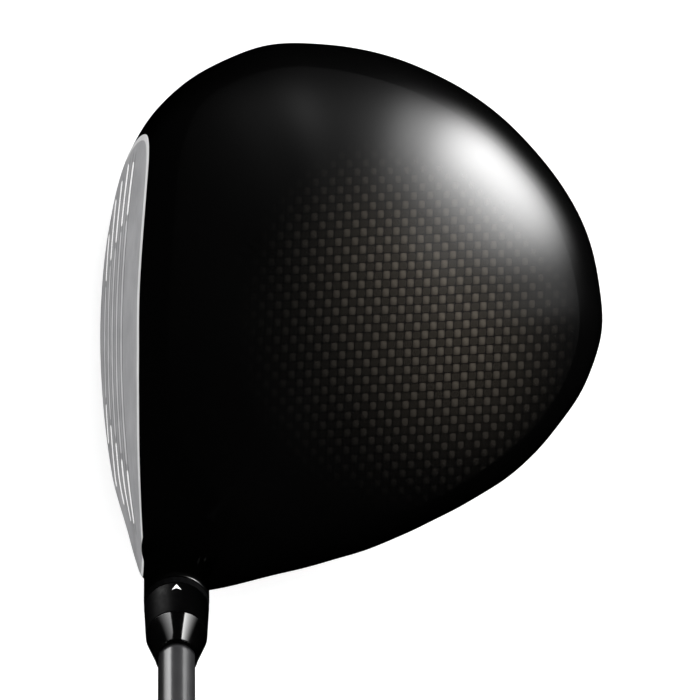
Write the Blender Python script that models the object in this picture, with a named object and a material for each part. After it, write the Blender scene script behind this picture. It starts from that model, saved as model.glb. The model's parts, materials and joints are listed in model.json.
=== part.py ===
"""Golf driver, right-handed, standing at address.

+Z is up, the face looks to -X, the toe is to +Y and the shaft leans to -Y. The origin is the
middle of the flat land on the sole, on the ground. Every solid is closed, and pieces that touch
on the real club keep a gap of GAP here.
"""

import math

import bmesh
import bpy
import numpy as np
from mathutils import Matrix, Vector

MM = 0.001
GAP = 0.3 * MM

# Head: plan outline at its widest, from the back towards the toe, then the hidden front, then
# the heel. The face surface cuts the front of this closed form away.
OUTLINE = [
    (60.9, 3.5), (57.9, 20.0), (50.6, 34.1), (38.1, 48.2), (24.5, 57.6), (8.0, 64.1), (-9.4, 66.4),
    (-22.0, 64.9), (-36.8, 57.6), (-46.3, 48.2), (-50.4, 41.0), (-57.0, 29.0), (-66.5, 12.0),
    (-72.0, -6.0), (-68.5, -25.0), (-59.5, -41.0), (-52.2, -52.5), (-47.0, -60.0), (-36.0, -62.8),
    (-21.5, -60.0), (-2.5, -55.3), (11.2, -50.6), (30.2, -41.2), (43.2, -32.0), (54.8, -17.7),
    (59.8, -6.0),
]
HEAD_HEIGHT = 58.5 * MM
WIDEST_HEIGHT = 27.0 * MM
WIDEST_RISE = 3.5 * MM  # the widest line is this much higher at the face, lower at the back
CROWN_TILT = 6.0 * MM  # the crown's highest point sits forward of the middle
CROWN_FULLNESS = (1.9, -0.15)  # how square the dome is: on average, and its change to the back
TOE_FULLNESS = 4.0  # added to the crown's where it meets the face's toe end
TOE_TURN = 2.42
TOE_SPREAD = 0.35
SOLE_FULLNESS = (1.95, -0.5)
HEAD_COLUMNS = 56
CROWN_ROWS = 8
SOLE_ROWS = 6
LAND_RADIUS = 8.0 * MM

# Face: a lofted plane through FACE_X at FACE_HEIGHT, bulged heel to toe and rolled top to bottom.
LOFT = math.radians(11.2)
FACE_X = -53.6 * MM
FACE_HEIGHT = 33.0 * MM
BULGE_CENTRE = -4.2 * MM
BULGE_RADIUS = 305.0 * MM
ROLL_RADIUS = 350.0 * MM
FACE_THICKNESS = 3.0 * MM
FACE_LEDGE = 6.5 * MM

# Shells
WALL = 2.4 * MM
PANEL = 1.0 * MM
CROWN_LEDGE = 6.0 * MM
SOLE_LEDGE = 5.0 * MM
CROWN_SEAM = [
    (55.0, 2.0), (46.0, 30.5), (21.5, 52.0), (-9.0, 60.4), (-30.0, 54.6), (-38.0, 42.0),
    (-40.5, 18.0), (-41.5, -6.0), (-39.0, -26.0), (-26.0, -43.0), (-8.0, -51.5), (10.0, -45.5),
    (30.0, -35.5), (47.5, -20.0),
]
SOLE_SEAM_TOE = [(34.0, 18.0), (28.0, 34.0), (6.0, 46.0), (-18.0, 44.0), (-27.0, 28.0), (-10.0, 14.0)]
SOLE_SEAM_HEEL = [(31.0, -15.0), (8.0, -12.0), (-16.0, -15.0), (-18.0, -32.0), (2.0, -39.0), (24.0, -29.0)]
CROWN_CUT_FLOOR = 30.0 * MM
SOLE_CUT_TOP = 14.0 * MM

# Shaft line: from the middle of the hosel's rim, up the shaft. Distances along it are called s.
LIE = math.radians(58.0)
RIM = Vector((-39.6, -64.4, 62.0)) * MM
SHAFT_AXIS = Vector((0.0, -math.cos(LIE), math.sin(LIE)))
HOSEL_RADIUS = 7.6 * MM
HOSEL_BORE = 5.9 * MM
BORE_FLOOR = -36.6 * MM
SCREW_SEAT = -39.6 * MM
SEAT_HOLE = 2.9 * MM
PORT_RADIUS = 5.3 * MM
HOSEL_END = -75.0 * MM
NECK_TOP = -3.0 * MM
NECK_LENGTH = 18.0 * MM
NECK_FLARE = 4.0 * MM
RETAINER_S = -57.4 * MM
RETAINER_HEIGHT = 1.0 * MM
RETAINER_BORE = 3.4 * MM
RETAINER_RADIUS = 5.6 * MM

# Index ring and its tangs, which drop into notches in the hosel's rim
RING_HEIGHT = 2.2 * MM
RING_RADIUS = 7.55 * MM
TANG_COUNT = 4
TANG_WIDTH = 2.4 * MM
TANG_DEPTH = 1.2 * MM
TANG_INNER = 6.0 * MM
TANG_OUTER = 6.9 * MM
NOTCH_INNER = 5.2 * MM

# Adapter sleeve
SLEEVE_RADIUS = 5.6 * MM
SLEEVE_BORE = 4.55 * MM
SLEEVE_FOOT = -36.0 * MM
SHAFT_SEAT = -22.0 * MM
THREAD_HOLE = 2.65 * MM
COLLAR_RADIUS = 7.5 * MM
COLLAR_TOP_RADIUS = 7.1 * MM
COLLAR_TOP = 13.8 * MM

# Hosel screw, M5 x 0.8
SCREW_RADIUS = 2.4 * MM
SCREW_HEAD_RADIUS = 4.4 * MM
SCREW_HEAD_TOP = -41.9 * MM
SCREW_HEAD_END = -47.0 * MM
SCREW_TIP = -28.0 * MM
SCREW_SOCKET = 2.2 * MM
SCREW_SOCKET_DEPTH = 3.0 * MM
WASHER_RADIUS = 4.6 * MM
WASHER_BORE = 2.8 * MM

# Ferrule, shaft and grip
FERRULE_END = 22.3 * MM
FERRULE_END_RADIUS = 4.95 * MM
FERRULE_BORE = 4.5 * MM
FERRULE_RING_HEIGHT = 0.9 * MM
TIP_RADIUS = 4.25 * MM
TIP_BORE = 2.5 * MM
TIP_PARALLEL = 90.0 * MM
BUTT_RADIUS = 7.6 * MM
BUTT_BORE = 6.6 * MM
SHAFT_FOOT = -21.7 * MM
SHAFT_END = 1078.6 * MM
PLUG_LENGTH = 9.0 * MM
PLUG_TOP = -6.0 * MM
GRIP_START = 815.0 * MM
GRIP_END = 1079.0 * MM
GRIP_MOUTH_RADIUS = 9.3 * MM
GRIP_BUTT_RADIUS = 13.3 * MM
TAPE = 0.4 * MM
CLUB_END = 1083.0 * MM
CAP_FLAT_RADIUS = 10.5 * MM
VENT_RADIUS = 1.5 * MM

# Sole weights, on the head's middle plane
WEIGHT_SCREW_RADIUS = 1.8 * MM
WEIGHT_SCREW_HEAD = 3.5 * MM
WEIGHT_SCREW_HEAD_HEIGHT = 2.2 * MM
WEIGHT_SCREW_REACH = 6.5 * MM
WEIGHT_SOCKET = 1.7 * MM
BOSS_WALL = 2.0 * MM
BOSS_FLOOR = 8.0 * MM
FRONT_WEIGHT = {
    "x": -30.0 * MM,
    "radius": 8.2 * MM,
    "depth": 4.2 * MM,
    "recess": 0.4 * MM,
}
REAR_WEIGHT = {
    "x": 44.0 * MM,
    "radius": 9.5 * MM,
    "depth": 7.0 * MM,
    "recess": 1.2 * MM,
}

ROUND = 32
SMALL_ROUND = 20


# ---------------------------------------------------------------- mesh tools


def make_object(name, mesh, place=None):
    """An object for a finished bmesh, with outward faces, placed by an optional matrix."""
    bmesh.ops.recalc_face_normals(mesh, faces=mesh.faces)
    data = bpy.data.meshes.new(name)
    mesh.to_mesh(data)
    mesh.free()
    thing = bpy.data.objects.new(name, data)
    bpy.context.scene.collection.objects.link(thing)
    if place is not None:
        thing.matrix_world = place
    return thing


def loft(name, rings, place=None, joined_ends=False, curved=False):
    """A closed solid through rings of points. A ring of one point is a pole.

    A curved solid is triangulated, so that later cuts meet only flat faces.
    """
    mesh = bmesh.new()
    rows = [[mesh.verts.new(point) for point in ring] for ring in rings]
    steps = list(zip(rows, rows[1:]))
    if joined_ends:
        steps.append((rows[-1], rows[0]))
    for low, high in steps:
        count = max(len(low), len(high))
        for i in range(count):
            j = (i + 1) % count
            if len(low) == 1:
                mesh.faces.new((low[0], high[j], high[i]))
            elif len(high) == 1:
                mesh.faces.new((low[i], low[j], high[0]))
            else:
                mesh.faces.new((low[i], low[j], high[j], high[i]))
    if not joined_ends:
        for end in (rows[0], rows[-1]):
            if len(end) > 1:
                mesh.faces.new(end)
    if curved:
        bmesh.ops.triangulate(mesh, faces=mesh.faces)
    return make_object(name, mesh, place)


def turned(name, profile, place, sides=ROUND, hollow=True):
    """A profile of (radius, height) points revolved about the placed z axis."""
    rings = []
    for radius, height in profile:
        if radius == 0.0:
            rings.append([Vector((0.0, 0.0, height))])
            continue
        turns = [2.0 * math.pi * k / sides for k in range(sides)]
        rings.append([Vector((radius * math.cos(a), radius * math.sin(a), height)) for a in turns])
    return loft(name, rings, place, joined_ends=hollow)


def rod(name, radius, low, high, place, sides=ROUND):
    """A plain round bar between two heights on the placed z axis."""
    return turned(name, [(radius, low), (radius, high)], place, sides, hollow=False)


def prism(name, outline, low, high):
    """An upright prism over a plan outline."""
    rings = [[Vector((x, y, z)) for x, y in outline] for z in (low, high)]
    return loft(name, rings)


def combine(target, tool, operation):
    """Apply a Boolean of the tool to the target, then delete the tool."""
    step = target.modifiers.new(operation, "BOOLEAN")
    step.operation = operation
    step.solver = "EXACT"
    step.object = tool
    graph = bpy.context.evaluated_depsgraph_get()
    result = bpy.data.meshes.new_from_object(target.evaluated_get(graph))
    target.modifiers.clear()
    target.data = result
    bpy.data.objects.remove(tool)
    return target


def along(origin, direction):
    """The placing matrix whose z axis runs along a direction, with y kept near the row's toe."""
    z = direction.normalized()
    x = Vector((0.0, 1.0, 0.0)).cross(z).normalized()
    y = z.cross(x)
    turn = Matrix((x, y, z)).transposed().to_4x4()
    return Matrix.Translation(origin) @ turn


def smooth_step(t):
    """0 to 1 with flat ends."""
    t = min(max(t, 0.0), 1.0)
    return t * t * (3.0 - 2.0 * t)


# ---------------------------------------------------------------- curves and surfaces


def spline(points, steps=8):
    """A closed smooth curve through plan points in millimetres, as (x, y) in metres."""
    knots = [Vector(point) * MM for point in points]
    count = len(knots)
    curve = []
    for i in range(count):
        before, start, end, after = (knots[(i + k) % count] for k in (-1, 0, 1, 2))
        for step in range(steps):
            t = step / steps
            linear = (end - before) * t
            square = (2.0 * before - 5.0 * start + 4.0 * end - after) * t**2
            cube = (3.0 * start - before - 3.0 * end + after) * t**3
            curve.append(0.5 * (2.0 * start + linear + square + cube))
    return curve


def inset(curve, distance):
    """A closed plan curve drawn in towards its middle by a distance."""
    middle = sum(curve, Vector((0.0, 0.0))) / len(curve)
    return [point + (middle - point).normalized() * distance for point in curve]


OUTLINE_CURVE = spline(OUTLINE, steps=12)
OUTLINE_TURNS = [math.atan2(point.y, point.x) for point in OUTLINE_CURVE]
OUTLINE_REACH = [point.length for point in OUTLINE_CURVE]


def plan_radius(turn):
    """The outline's distance from the origin in a direction."""
    return float(np.interp(turn, OUTLINE_TURNS, OUTLINE_REACH, period=2.0 * math.pi))


def fullness(limits, turn):
    """How square the dome or the sole is in a direction."""
    value = limits[0] + limits[1] * math.cos(turn)
    if limits == CROWN_FULLNESS:
        off = math.remainder(turn - TOE_TURN, 2.0 * math.pi) / TOE_SPREAD
        value += TOE_FULLNESS * math.exp(-(off**2))
    return value


def widest_level(turn):
    return WIDEST_HEIGHT - WIDEST_RISE * math.cos(turn)


def sole_height(x):
    """The sole's height on the head's middle plane."""
    turn = 0.0 if x > 0.0 else math.pi
    share = (abs(x) / plan_radius(turn)) ** fullness(SOLE_FULLNESS, turn)
    return widest_level(turn) * (1.0 - math.sqrt(1.0 - share))


def head_form(name, depth):
    """The closed head form, a depth inside its outer surface. It ignores the face cut."""
    turns = [2.0 * math.pi * k / HEAD_COLUMNS for k in range(HEAD_COLUMNS)]

    def ring(row, rows, top):
        lift = 0.5 * math.pi * row / rows
        limits = CROWN_FULLNESS if top else SOLE_FULLNESS
        rise = math.sin(lift)
        points = []
        for turn in turns:
            radius = plan_radius(turn)
            spread = math.cos(lift) ** (2.0 / fullness(limits, turn))
            level = widest_level(turn)
            x = (radius - depth) * spread * math.cos(turn)
            y = (radius - depth) * spread * math.sin(turn)
            if top:
                z = level + (HEAD_HEIGHT - depth - level) * rise - CROWN_TILT * rise * x / radius
            else:
                z = level - (level - depth) * rise
            points.append(Vector((x, y, z)))
        return points

    land = [Vector((LAND_RADIUS * math.cos(a), LAND_RADIUS * math.sin(a), depth)) for a in turns]
    rings = [[Vector((0.0, 0.0, depth))], land]
    rings += [ring(row, SOLE_ROWS, False) for row in range(SOLE_ROWS - 1, 0, -1)]
    rings += [ring(row, CROWN_ROWS, True) for row in range(CROWN_ROWS)]
    rings.append([Vector((0.0, 0.0, HEAD_HEIGHT - depth))])
    return loft(name, rings, curved=True)


def face_surface_x(y, z):
    """Where the striking face lies at a width and a height."""
    bulge = (y - BULGE_CENTRE) ** 2 / (2.0 * BULGE_RADIUS)
    roll = (z - FACE_HEIGHT) ** 2 / (2.0 * ROLL_RADIUS)
    return FACE_X + (z - FACE_HEIGHT) * math.tan(LOFT) + bulge + roll


def ahead_of_face(name, depth):
    """Everything in front of the surface a depth behind the striking face."""
    front = -0.13
    widths = BULGE_CENTRE + np.linspace(-0.09, 0.09, 26)
    rings = []
    for z in FACE_HEIGHT + np.linspace(-0.06, 0.06, 12):
        back_edge = [Vector((face_surface_x(y, z) + depth, y, z)) for y in widths]
        front_edge = [Vector((front, y, z)) for y in widths[::-1]]
        rings.append(back_edge + front_edge)
    return loft(name, rings, curved=True)


# ---------------------------------------------------------------- materials


def finish(thing, colour, roughness, metallic):
    """Give an object its own plain material and smooth shading on its round surfaces."""
    look = bpy.data.materials.new(thing.name)
    look.use_nodes = True
    shader = look.node_tree.nodes["Principled BSDF"]
    shader.inputs["Base Color"].default_value = (*colour, 1.0)
    shader.inputs["Roughness"].default_value = roughness
    shader.inputs["Metallic"].default_value = metallic
    thing.data.materials.clear()
    thing.data.materials.append(look)
    thing.data.shade_smooth()
    thing.data.set_sharp_from_angle(angle=math.radians(30.0))
    return thing


BLACK = (0.008, 0.008, 0.009)
TITANIUM = (0.42, 0.42, 0.43)
CARBON = (0.022, 0.019, 0.016)
STEEL = (0.5, 0.5, 0.51)
GRAPHITE = (0.13, 0.13, 0.135)
RUBBER = (0.02, 0.02, 0.02)


# ---------------------------------------------------------------- head

HOSEL_FRAME = along(RIM, SHAFT_AXIS)


def hosel_neck():
    """The hosel above the crown: round at its rim, flaring back and down into the heel."""
    rings = []
    for s in (0.0, -3.0, -5.5, -8.0, -11.0, -14.0, -18.0, -22.0, -26.0):
        flare = NECK_FLARE * smooth_step((NECK_TOP - s * MM) / NECK_LENGTH)
        ring = []
        for k in range(ROUND):
            turn = 2.0 * math.pi * k / ROUND
            reach = HOSEL_RADIUS + flare
            ring.append(Vector((flare + reach * math.cos(turn), reach * math.sin(turn), s * MM)))
        rings.append(ring)
    return loft("neck", rings, HOSEL_FRAME, curved=True)


def hosel_bar(radius):
    """The hosel tube's straight body, from its rim to below the sole."""
    return rod("hosel_bar", radius, HOSEL_END, 0.0, HOSEL_FRAME)


def weight_frame(weight):
    """Placing matrix with its origin on the sole, over a weight port, and z pointing outwards."""
    x = weight["x"]
    slope = (sole_height(x + MM) - sole_height(x - MM)) / (2.0 * MM)
    return along(Vector((x, 0.0, sole_height(x))), Vector((slope, 0.0, -1.0)))


def weight_boss(weight):
    """Solid metal around a weight port, inside the head."""
    radius = weight["radius"] + GAP + BOSS_WALL
    depth = weight["depth"] + weight["recess"] + GAP + BOSS_FLOOR
    return rod("boss", radius, -depth, 20.0 * MM, weight_frame(weight))


def weight_port(weight):
    """The pocket for a weight and the hole for its screw."""
    place = weight_frame(weight)
    floor = -(weight["depth"] + weight["recess"] + GAP)
    pocket = rod("pocket", weight["radius"] + GAP, floor, 20.0 * MM, place)
    hole = rod("hole", WEIGHT_SCREW_RADIUS + GAP, floor - WEIGHT_SCREW_REACH - GAP, floor + MM,
               place, SMALL_ROUND)
    return combine(pocket, hole, "UNION")


def crown_cut(distance):
    return prism("crown_cut", inset(spline(CROWN_SEAM, steps=4), distance), CROWN_CUT_FLOOR, 0.09)


def sole_cut(seam, distance):
    return prism("sole_cut", inset(spline(seam, steps=6), distance), -0.01, SOLE_CUT_TOP)


def head_cavity():
    """The hollow inside the frame: walls all round, but not the hosel tube or the weight bosses."""
    hollow = head_form("hollow", WALL)
    combine(hollow, ahead_of_face("front", FACE_THICKNESS + GAP + WALL), "DIFFERENCE")
    mouth = head_form("mouth", FACE_LEDGE)
    combine(mouth, ahead_of_face("front", FACE_THICKNESS + 2.0 * WALL), "INTERSECT")
    combine(hollow, mouth, "UNION")
    combine(hollow, hosel_bar(HOSEL_RADIUS), "DIFFERENCE")
    for weight in (FRONT_WEIGHT, REAR_WEIGHT):
        combine(hollow, weight_boss(weight), "DIFFERENCE")
    return hollow


def recess(cut, depth):
    """The part of an upright cutter that lies outside a surface a depth inside the head."""
    return combine(cut, head_form("core", depth), "DIFFERENCE")


def tangs(name, inner, margin):
    """Square blocks round the rim, for the index ring's tangs or the notches they drop into."""
    blocks = []
    for k in range(TANG_COUNT):
        mesh = bmesh.new()
        bmesh.ops.create_cube(mesh, size=1.0)
        size = Vector((TANG_OUTER - inner, TANG_WIDTH, TANG_DEPTH + MM))
        size += Vector((2.0, 2.0, 2.0)) * margin
        bmesh.ops.scale(mesh, vec=size, verts=mesh.verts)
        middle = Vector(((inner + TANG_OUTER) / 2.0, 0.0, (MM - TANG_DEPTH) / 2.0))
        bmesh.ops.translate(mesh, vec=middle, verts=mesh.verts)
        turn = Matrix.Rotation(2.0 * math.pi * k / TANG_COUNT, 4, "Z")
        blocks.append(make_object(name, mesh, HOSEL_FRAME @ turn))
    return blocks


def hosel_hollow():
    """The stepped hole through the hosel: sleeve bore, screw seat, port and snap-ring groove."""
    inner = [
        (HOSEL_BORE, 0.005), (HOSEL_BORE, BORE_FLOOR), (SEAT_HOLE, BORE_FLOOR),
        (SEAT_HOLE, SCREW_SEAT), (PORT_RADIUS, SCREW_SEAT),
        (PORT_RADIUS, RETAINER_S + GAP), (RETAINER_RADIUS + GAP, RETAINER_S + GAP),
        (RETAINER_RADIUS + GAP, RETAINER_S - RETAINER_HEIGHT - GAP),
        (PORT_RADIUS, RETAINER_S - RETAINER_HEIGHT - GAP), (PORT_RADIUS, HOSEL_END - 0.005),
    ]
    return turned("hosel_hollow", inner, HOSEL_FRAME, ROUND, hollow=False)


def body_frame():
    """Titanium frame: skirt, sole, crown rim and its ledges, hosel, screw port, weight ports."""
    body = head_form("body_frame", 0.0)
    combine(body, hosel_neck(), "UNION")
    front = ahead_of_face("front", FACE_THICKNESS + GAP)
    combine(front, head_form("clear", -GAP), "INTERSECT")
    combine(front, hosel_bar(HOSEL_RADIUS), "DIFFERENCE")
    combine(body, front, "DIFFERENCE")
    combine(body, head_cavity(), "DIFFERENCE")
    combine(body, recess(crown_cut(0.0), PANEL + GAP), "DIFFERENCE")
    combine(body, crown_cut(CROWN_LEDGE), "DIFFERENCE")
    for seam in (SOLE_SEAM_TOE, SOLE_SEAM_HEEL):
        combine(body, recess(sole_cut(seam, 0.0), PANEL + GAP), "DIFFERENCE")
        combine(body, sole_cut(seam, SOLE_LEDGE), "DIFFERENCE")
    for weight in (FRONT_WEIGHT, REAR_WEIGHT):
        combine(body, weight_port(weight), "DIFFERENCE")
    combine(body, hosel_hollow(), "DIFFERENCE")
    for notch in tangs("notch", NOTCH_INNER, GAP):
        combine(body, notch, "DIFFERENCE")
    return finish(body, BLACK, 0.15, 0.4)


def face_plate():
    plate = head_form("face_plate", 0.0)
    combine(plate, ahead_of_face("front", FACE_THICKNESS), "INTERSECT")
    combine(plate, ahead_of_face("air", 0.0), "DIFFERENCE")
    combine(plate, hosel_bar(HOSEL_RADIUS + GAP), "DIFFERENCE")
    return finish(plate, TITANIUM, 0.35, 0.9)


def panel(name, cut):
    """A thin skin of the head inside an upright cutter."""
    skin = head_form(name, 0.0)
    combine(skin, cut, "INTERSECT")
    combine(skin, head_form("core", PANEL), "DIFFERENCE")
    return finish(skin, CARBON, 0.12, 0.1)


def screw_retainer():
    low = RETAINER_S - RETAINER_HEIGHT
    profile = [
        (RETAINER_BORE, low), (RETAINER_RADIUS, low),
        (RETAINER_RADIUS, RETAINER_S), (RETAINER_BORE, RETAINER_S),
    ]
    ring = turned("screw_retainer", profile, HOSEL_FRAME)
    return finish(ring, STEEL, 0.3, 1.0)


# ---------------------------------------------------------------- weights


def hex_socket(radius, low, high, place):
    return rod("socket", radius, low, high, place, 6)


def weight_pieces(name, weight):
    """A round weight with a counterbored hole, and the screw that holds it."""
    place = weight_frame(weight)
    top = -weight["recess"]
    floor = top - weight["depth"]
    shoulder = top - WEIGHT_SCREW_HEAD_HEIGHT - GAP
    chamfer = 0.5 * MM
    profile = [
        (WEIGHT_SCREW_RADIUS + GAP, floor), (weight["radius"], floor),
        (weight["radius"], top - chamfer), (weight["radius"] - chamfer, top),
        (WEIGHT_SCREW_HEAD + GAP, top), (WEIGHT_SCREW_HEAD + GAP, shoulder),
        (WEIGHT_SCREW_RADIUS + GAP, shoulder),
    ]
    disc = turned(name, profile, place)
    finish(disc, STEEL, 0.3, 1.0)
    tip = floor - GAP - WEIGHT_SCREW_REACH
    profile = [
        (0.0, tip), (WEIGHT_SCREW_RADIUS, tip), (WEIGHT_SCREW_RADIUS, shoulder + GAP),
        (WEIGHT_SCREW_HEAD, shoulder + GAP), (WEIGHT_SCREW_HEAD, top - GAP), (0.0, top - GAP),
    ]
    screw = turned(name + "_screw", profile, place, SMALL_ROUND, hollow=False)
    socket = hex_socket(WEIGHT_SOCKET, shoulder + 3.0 * GAP, top + MM, place)
    combine(screw, socket, "DIFFERENCE")
    finish(screw, BLACK, 0.35, 0.9)


# ---------------------------------------------------------------- hosel adapter


def index_ring():
    profile = [
        (HOSEL_BORE, GAP), (RING_RADIUS, GAP),
        (RING_RADIUS, RING_HEIGHT + GAP), (HOSEL_BORE, RING_HEIGHT + GAP),
    ]
    ring = turned("index_ring", profile, HOSEL_FRAME)
    for tang in tangs("tang", TANG_INNER, 0.0):
        combine(ring, tang, "UNION")
    return finish(ring, BLACK, 0.3, 0.6)


def adapter_sleeve():
    collar_foot = RING_HEIGHT + 2.0 * GAP
    profile = [
        (THREAD_HOLE, SLEEVE_FOOT), (SLEEVE_RADIUS, SLEEVE_FOOT),
        (SLEEVE_RADIUS, collar_foot), (COLLAR_RADIUS, collar_foot),
        (COLLAR_TOP_RADIUS, COLLAR_TOP), (SLEEVE_BORE, COLLAR_TOP),
        (SLEEVE_BORE, SHAFT_SEAT), (THREAD_HOLE, SHAFT_SEAT),
    ]
    sleeve = turned("adapter_sleeve", profile, HOSEL_FRAME)
    return finish(sleeve, (0.02, 0.02, 0.022), 0.3, 0.8)


def screw_washer():
    profile = [
        (WASHER_BORE, SCREW_SEAT - GAP), (WASHER_RADIUS, SCREW_SEAT - GAP),
        (WASHER_RADIUS, SCREW_SEAT - 3.0 * GAP), (WASHER_BORE, SCREW_HEAD_TOP + GAP),
    ]
    washer = turned("screw_washer", profile, HOSEL_FRAME)
    return finish(washer, STEEL, 0.3, 1.0)


def hosel_screw():
    profile = [
        (0.0, SCREW_HEAD_END), (SCREW_HEAD_RADIUS, SCREW_HEAD_END),
        (SCREW_HEAD_RADIUS, SCREW_HEAD_TOP), (SCREW_RADIUS, SCREW_HEAD_TOP),
        (SCREW_RADIUS, SCREW_TIP - MM), (SCREW_RADIUS - 0.6 * MM, SCREW_TIP), (0.0, SCREW_TIP),
    ]
    screw = turned("hosel_screw", profile, HOSEL_FRAME, SMALL_ROUND, hollow=False)
    deep = SCREW_HEAD_END + SCREW_SOCKET_DEPTH
    socket = hex_socket(SCREW_SOCKET, SCREW_HEAD_END - MM, deep, HOSEL_FRAME)
    combine(screw, socket, "DIFFERENCE")
    return finish(screw, STEEL, 0.3, 1.0)


# ---------------------------------------------------------------- shaft and grip


def ferrule():
    low = COLLAR_TOP + GAP
    profile = [
        (FERRULE_BORE, low), (COLLAR_TOP_RADIUS, low),
        (FERRULE_END_RADIUS, FERRULE_END), (FERRULE_BORE, FERRULE_END),
    ]
    cone = turned("ferrule", profile, HOSEL_FRAME)
    return finish(cone, BLACK, 0.1, 0.0)


def ferrule_ring():
    low = FERRULE_END + GAP
    high = low + FERRULE_RING_HEIGHT
    profile = [
        (FERRULE_BORE, low), (FERRULE_END_RADIUS, low),
        (FERRULE_END_RADIUS - 0.15 * MM, high), (FERRULE_BORE, high),
    ]
    ring = turned("ferrule_ring", profile, HOSEL_FRAME)
    return finish(ring, BLACK, 0.4, 0.0)


def shaft_radius(s, tip, butt):
    """A radius along the shaft: parallel near the tip, then an even taper to the butt."""
    share = (s - TIP_PARALLEL) / (SHAFT_END - TIP_PARALLEL)
    return tip + (butt - tip) * max(share, 0.0)


def shaft():
    stops = (SHAFT_FOOT, TIP_PARALLEL, GRIP_START, SHAFT_END)
    outer = [(shaft_radius(s, TIP_RADIUS, BUTT_RADIUS), s) for s in stops]
    inner = [(shaft_radius(s, TIP_BORE, BUTT_BORE), s) for s in reversed(stops)]
    tube = turned("shaft", outer + inner, HOSEL_FRAME, 24)
    return finish(tube, GRAPHITE, 0.35, 0.6)


def tip_plug():
    profile = [
        (0.0, PLUG_TOP - PLUG_LENGTH), (TIP_BORE - GAP, PLUG_TOP - PLUG_LENGTH),
        (TIP_BORE - GAP, PLUG_TOP), (0.0, PLUG_TOP),
    ]
    plug = turned("tip_plug", profile, HOSEL_FRAME, SMALL_ROUND, hollow=False)
    return finish(plug, (0.5, 0.48, 0.4), 0.7, 0.0)


def grip_parts():
    """Tape, rubber sleeve and cap, each round the one inside it."""
    ends = (GRIP_START, GRIP_END)
    core = [shaft_radius(s, TIP_RADIUS, BUTT_RADIUS) for s in ends]
    tape_inner = [(core[i] + GAP, ends[i]) for i in (0, 1)]
    tape_outer = [(core[i] + GAP + TAPE, ends[i]) for i in (1, 0)]
    tape = turned("grip_tape", tape_inner + tape_outer, HOSEL_FRAME, 24)
    finish(tape, (0.6, 0.56, 0.45), 0.8, 0.0)
    lip = 1.5 * MM
    bore = [(core[i] + 2.0 * GAP + TAPE, ends[i]) for i in (1, 0)]
    outer = [
        (GRIP_MOUTH_RADIUS - lip / 2.0, GRIP_START), (GRIP_MOUTH_RADIUS, GRIP_START + lip),
        (GRIP_BUTT_RADIUS, GRIP_END),
    ]
    sleeve = turned("grip", outer + bore, HOSEL_FRAME)
    finish(sleeve, RUBBER, 0.75, 0.0)
    low = GRIP_END + GAP
    cap_profile = [
        (VENT_RADIUS, low), (GRIP_BUTT_RADIUS, low), (GRIP_BUTT_RADIUS, low + MM),
        (GRIP_BUTT_RADIUS - 0.8 * MM, CLUB_END - MM), (CAP_FLAT_RADIUS, CLUB_END),
        (VENT_RADIUS, CLUB_END),
    ]
    cap = turned("grip_cap", cap_profile, HOSEL_FRAME)
    finish(cap, RUBBER, 0.6, 0.0)


# ---------------------------------------------------------------- the club


def build():
    for thing in list(bpy.data.objects):
        bpy.data.objects.remove(thing)
    body_frame()
    face_plate()
    panel("crown_panel", crown_cut(GAP))
    panel("sole_panel_toe", sole_cut(SOLE_SEAM_TOE, GAP))
    panel("sole_panel_heel", sole_cut(SOLE_SEAM_HEEL, GAP))
    screw_retainer()
    weight_pieces("front_weight", FRONT_WEIGHT)
    weight_pieces("rear_weight", REAR_WEIGHT)
    index_ring()
    adapter_sleeve()
    screw_washer()
    hosel_screw()
    ferrule()
    ferrule_ring()
    shaft()
    tip_plug()
    grip_parts()


build()
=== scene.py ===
"""Golf driver: the looks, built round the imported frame.

+Z is up, the face looks to -X, the toe is to +Y and the shaft leans to -Y. Shapes are worked out
in millimetres and become metres when a mesh is made. The head form is the CAD's formula, made
fuller low on the face and squarer at the toe. It stays within a millimetre of the CAD's box.
"""

import json
import math

import bmesh
import bpy
import numpy as np
from mathutils import Matrix, Vector
from mathutils.geometry import delaunay_2d_cdt

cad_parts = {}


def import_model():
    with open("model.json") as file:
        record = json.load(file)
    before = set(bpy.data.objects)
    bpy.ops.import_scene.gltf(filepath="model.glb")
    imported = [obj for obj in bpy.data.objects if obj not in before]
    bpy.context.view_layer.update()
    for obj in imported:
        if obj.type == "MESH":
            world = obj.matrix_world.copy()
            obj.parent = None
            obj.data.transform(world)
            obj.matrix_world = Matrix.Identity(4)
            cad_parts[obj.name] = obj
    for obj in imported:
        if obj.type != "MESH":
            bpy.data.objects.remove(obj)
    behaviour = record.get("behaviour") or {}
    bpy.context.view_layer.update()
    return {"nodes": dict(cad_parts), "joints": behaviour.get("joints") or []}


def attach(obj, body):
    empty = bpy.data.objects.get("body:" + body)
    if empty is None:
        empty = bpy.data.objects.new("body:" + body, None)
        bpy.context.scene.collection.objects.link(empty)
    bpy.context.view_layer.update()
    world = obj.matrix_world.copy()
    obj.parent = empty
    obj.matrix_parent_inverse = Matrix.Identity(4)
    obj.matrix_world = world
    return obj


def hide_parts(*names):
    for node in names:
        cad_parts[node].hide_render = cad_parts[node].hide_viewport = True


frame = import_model()

MM = 0.001
FULL_TURN = 2.0 * math.pi
GAP = 0.3

# ---------------------------------------------------------------- driving sizes, as in the CAD

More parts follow.
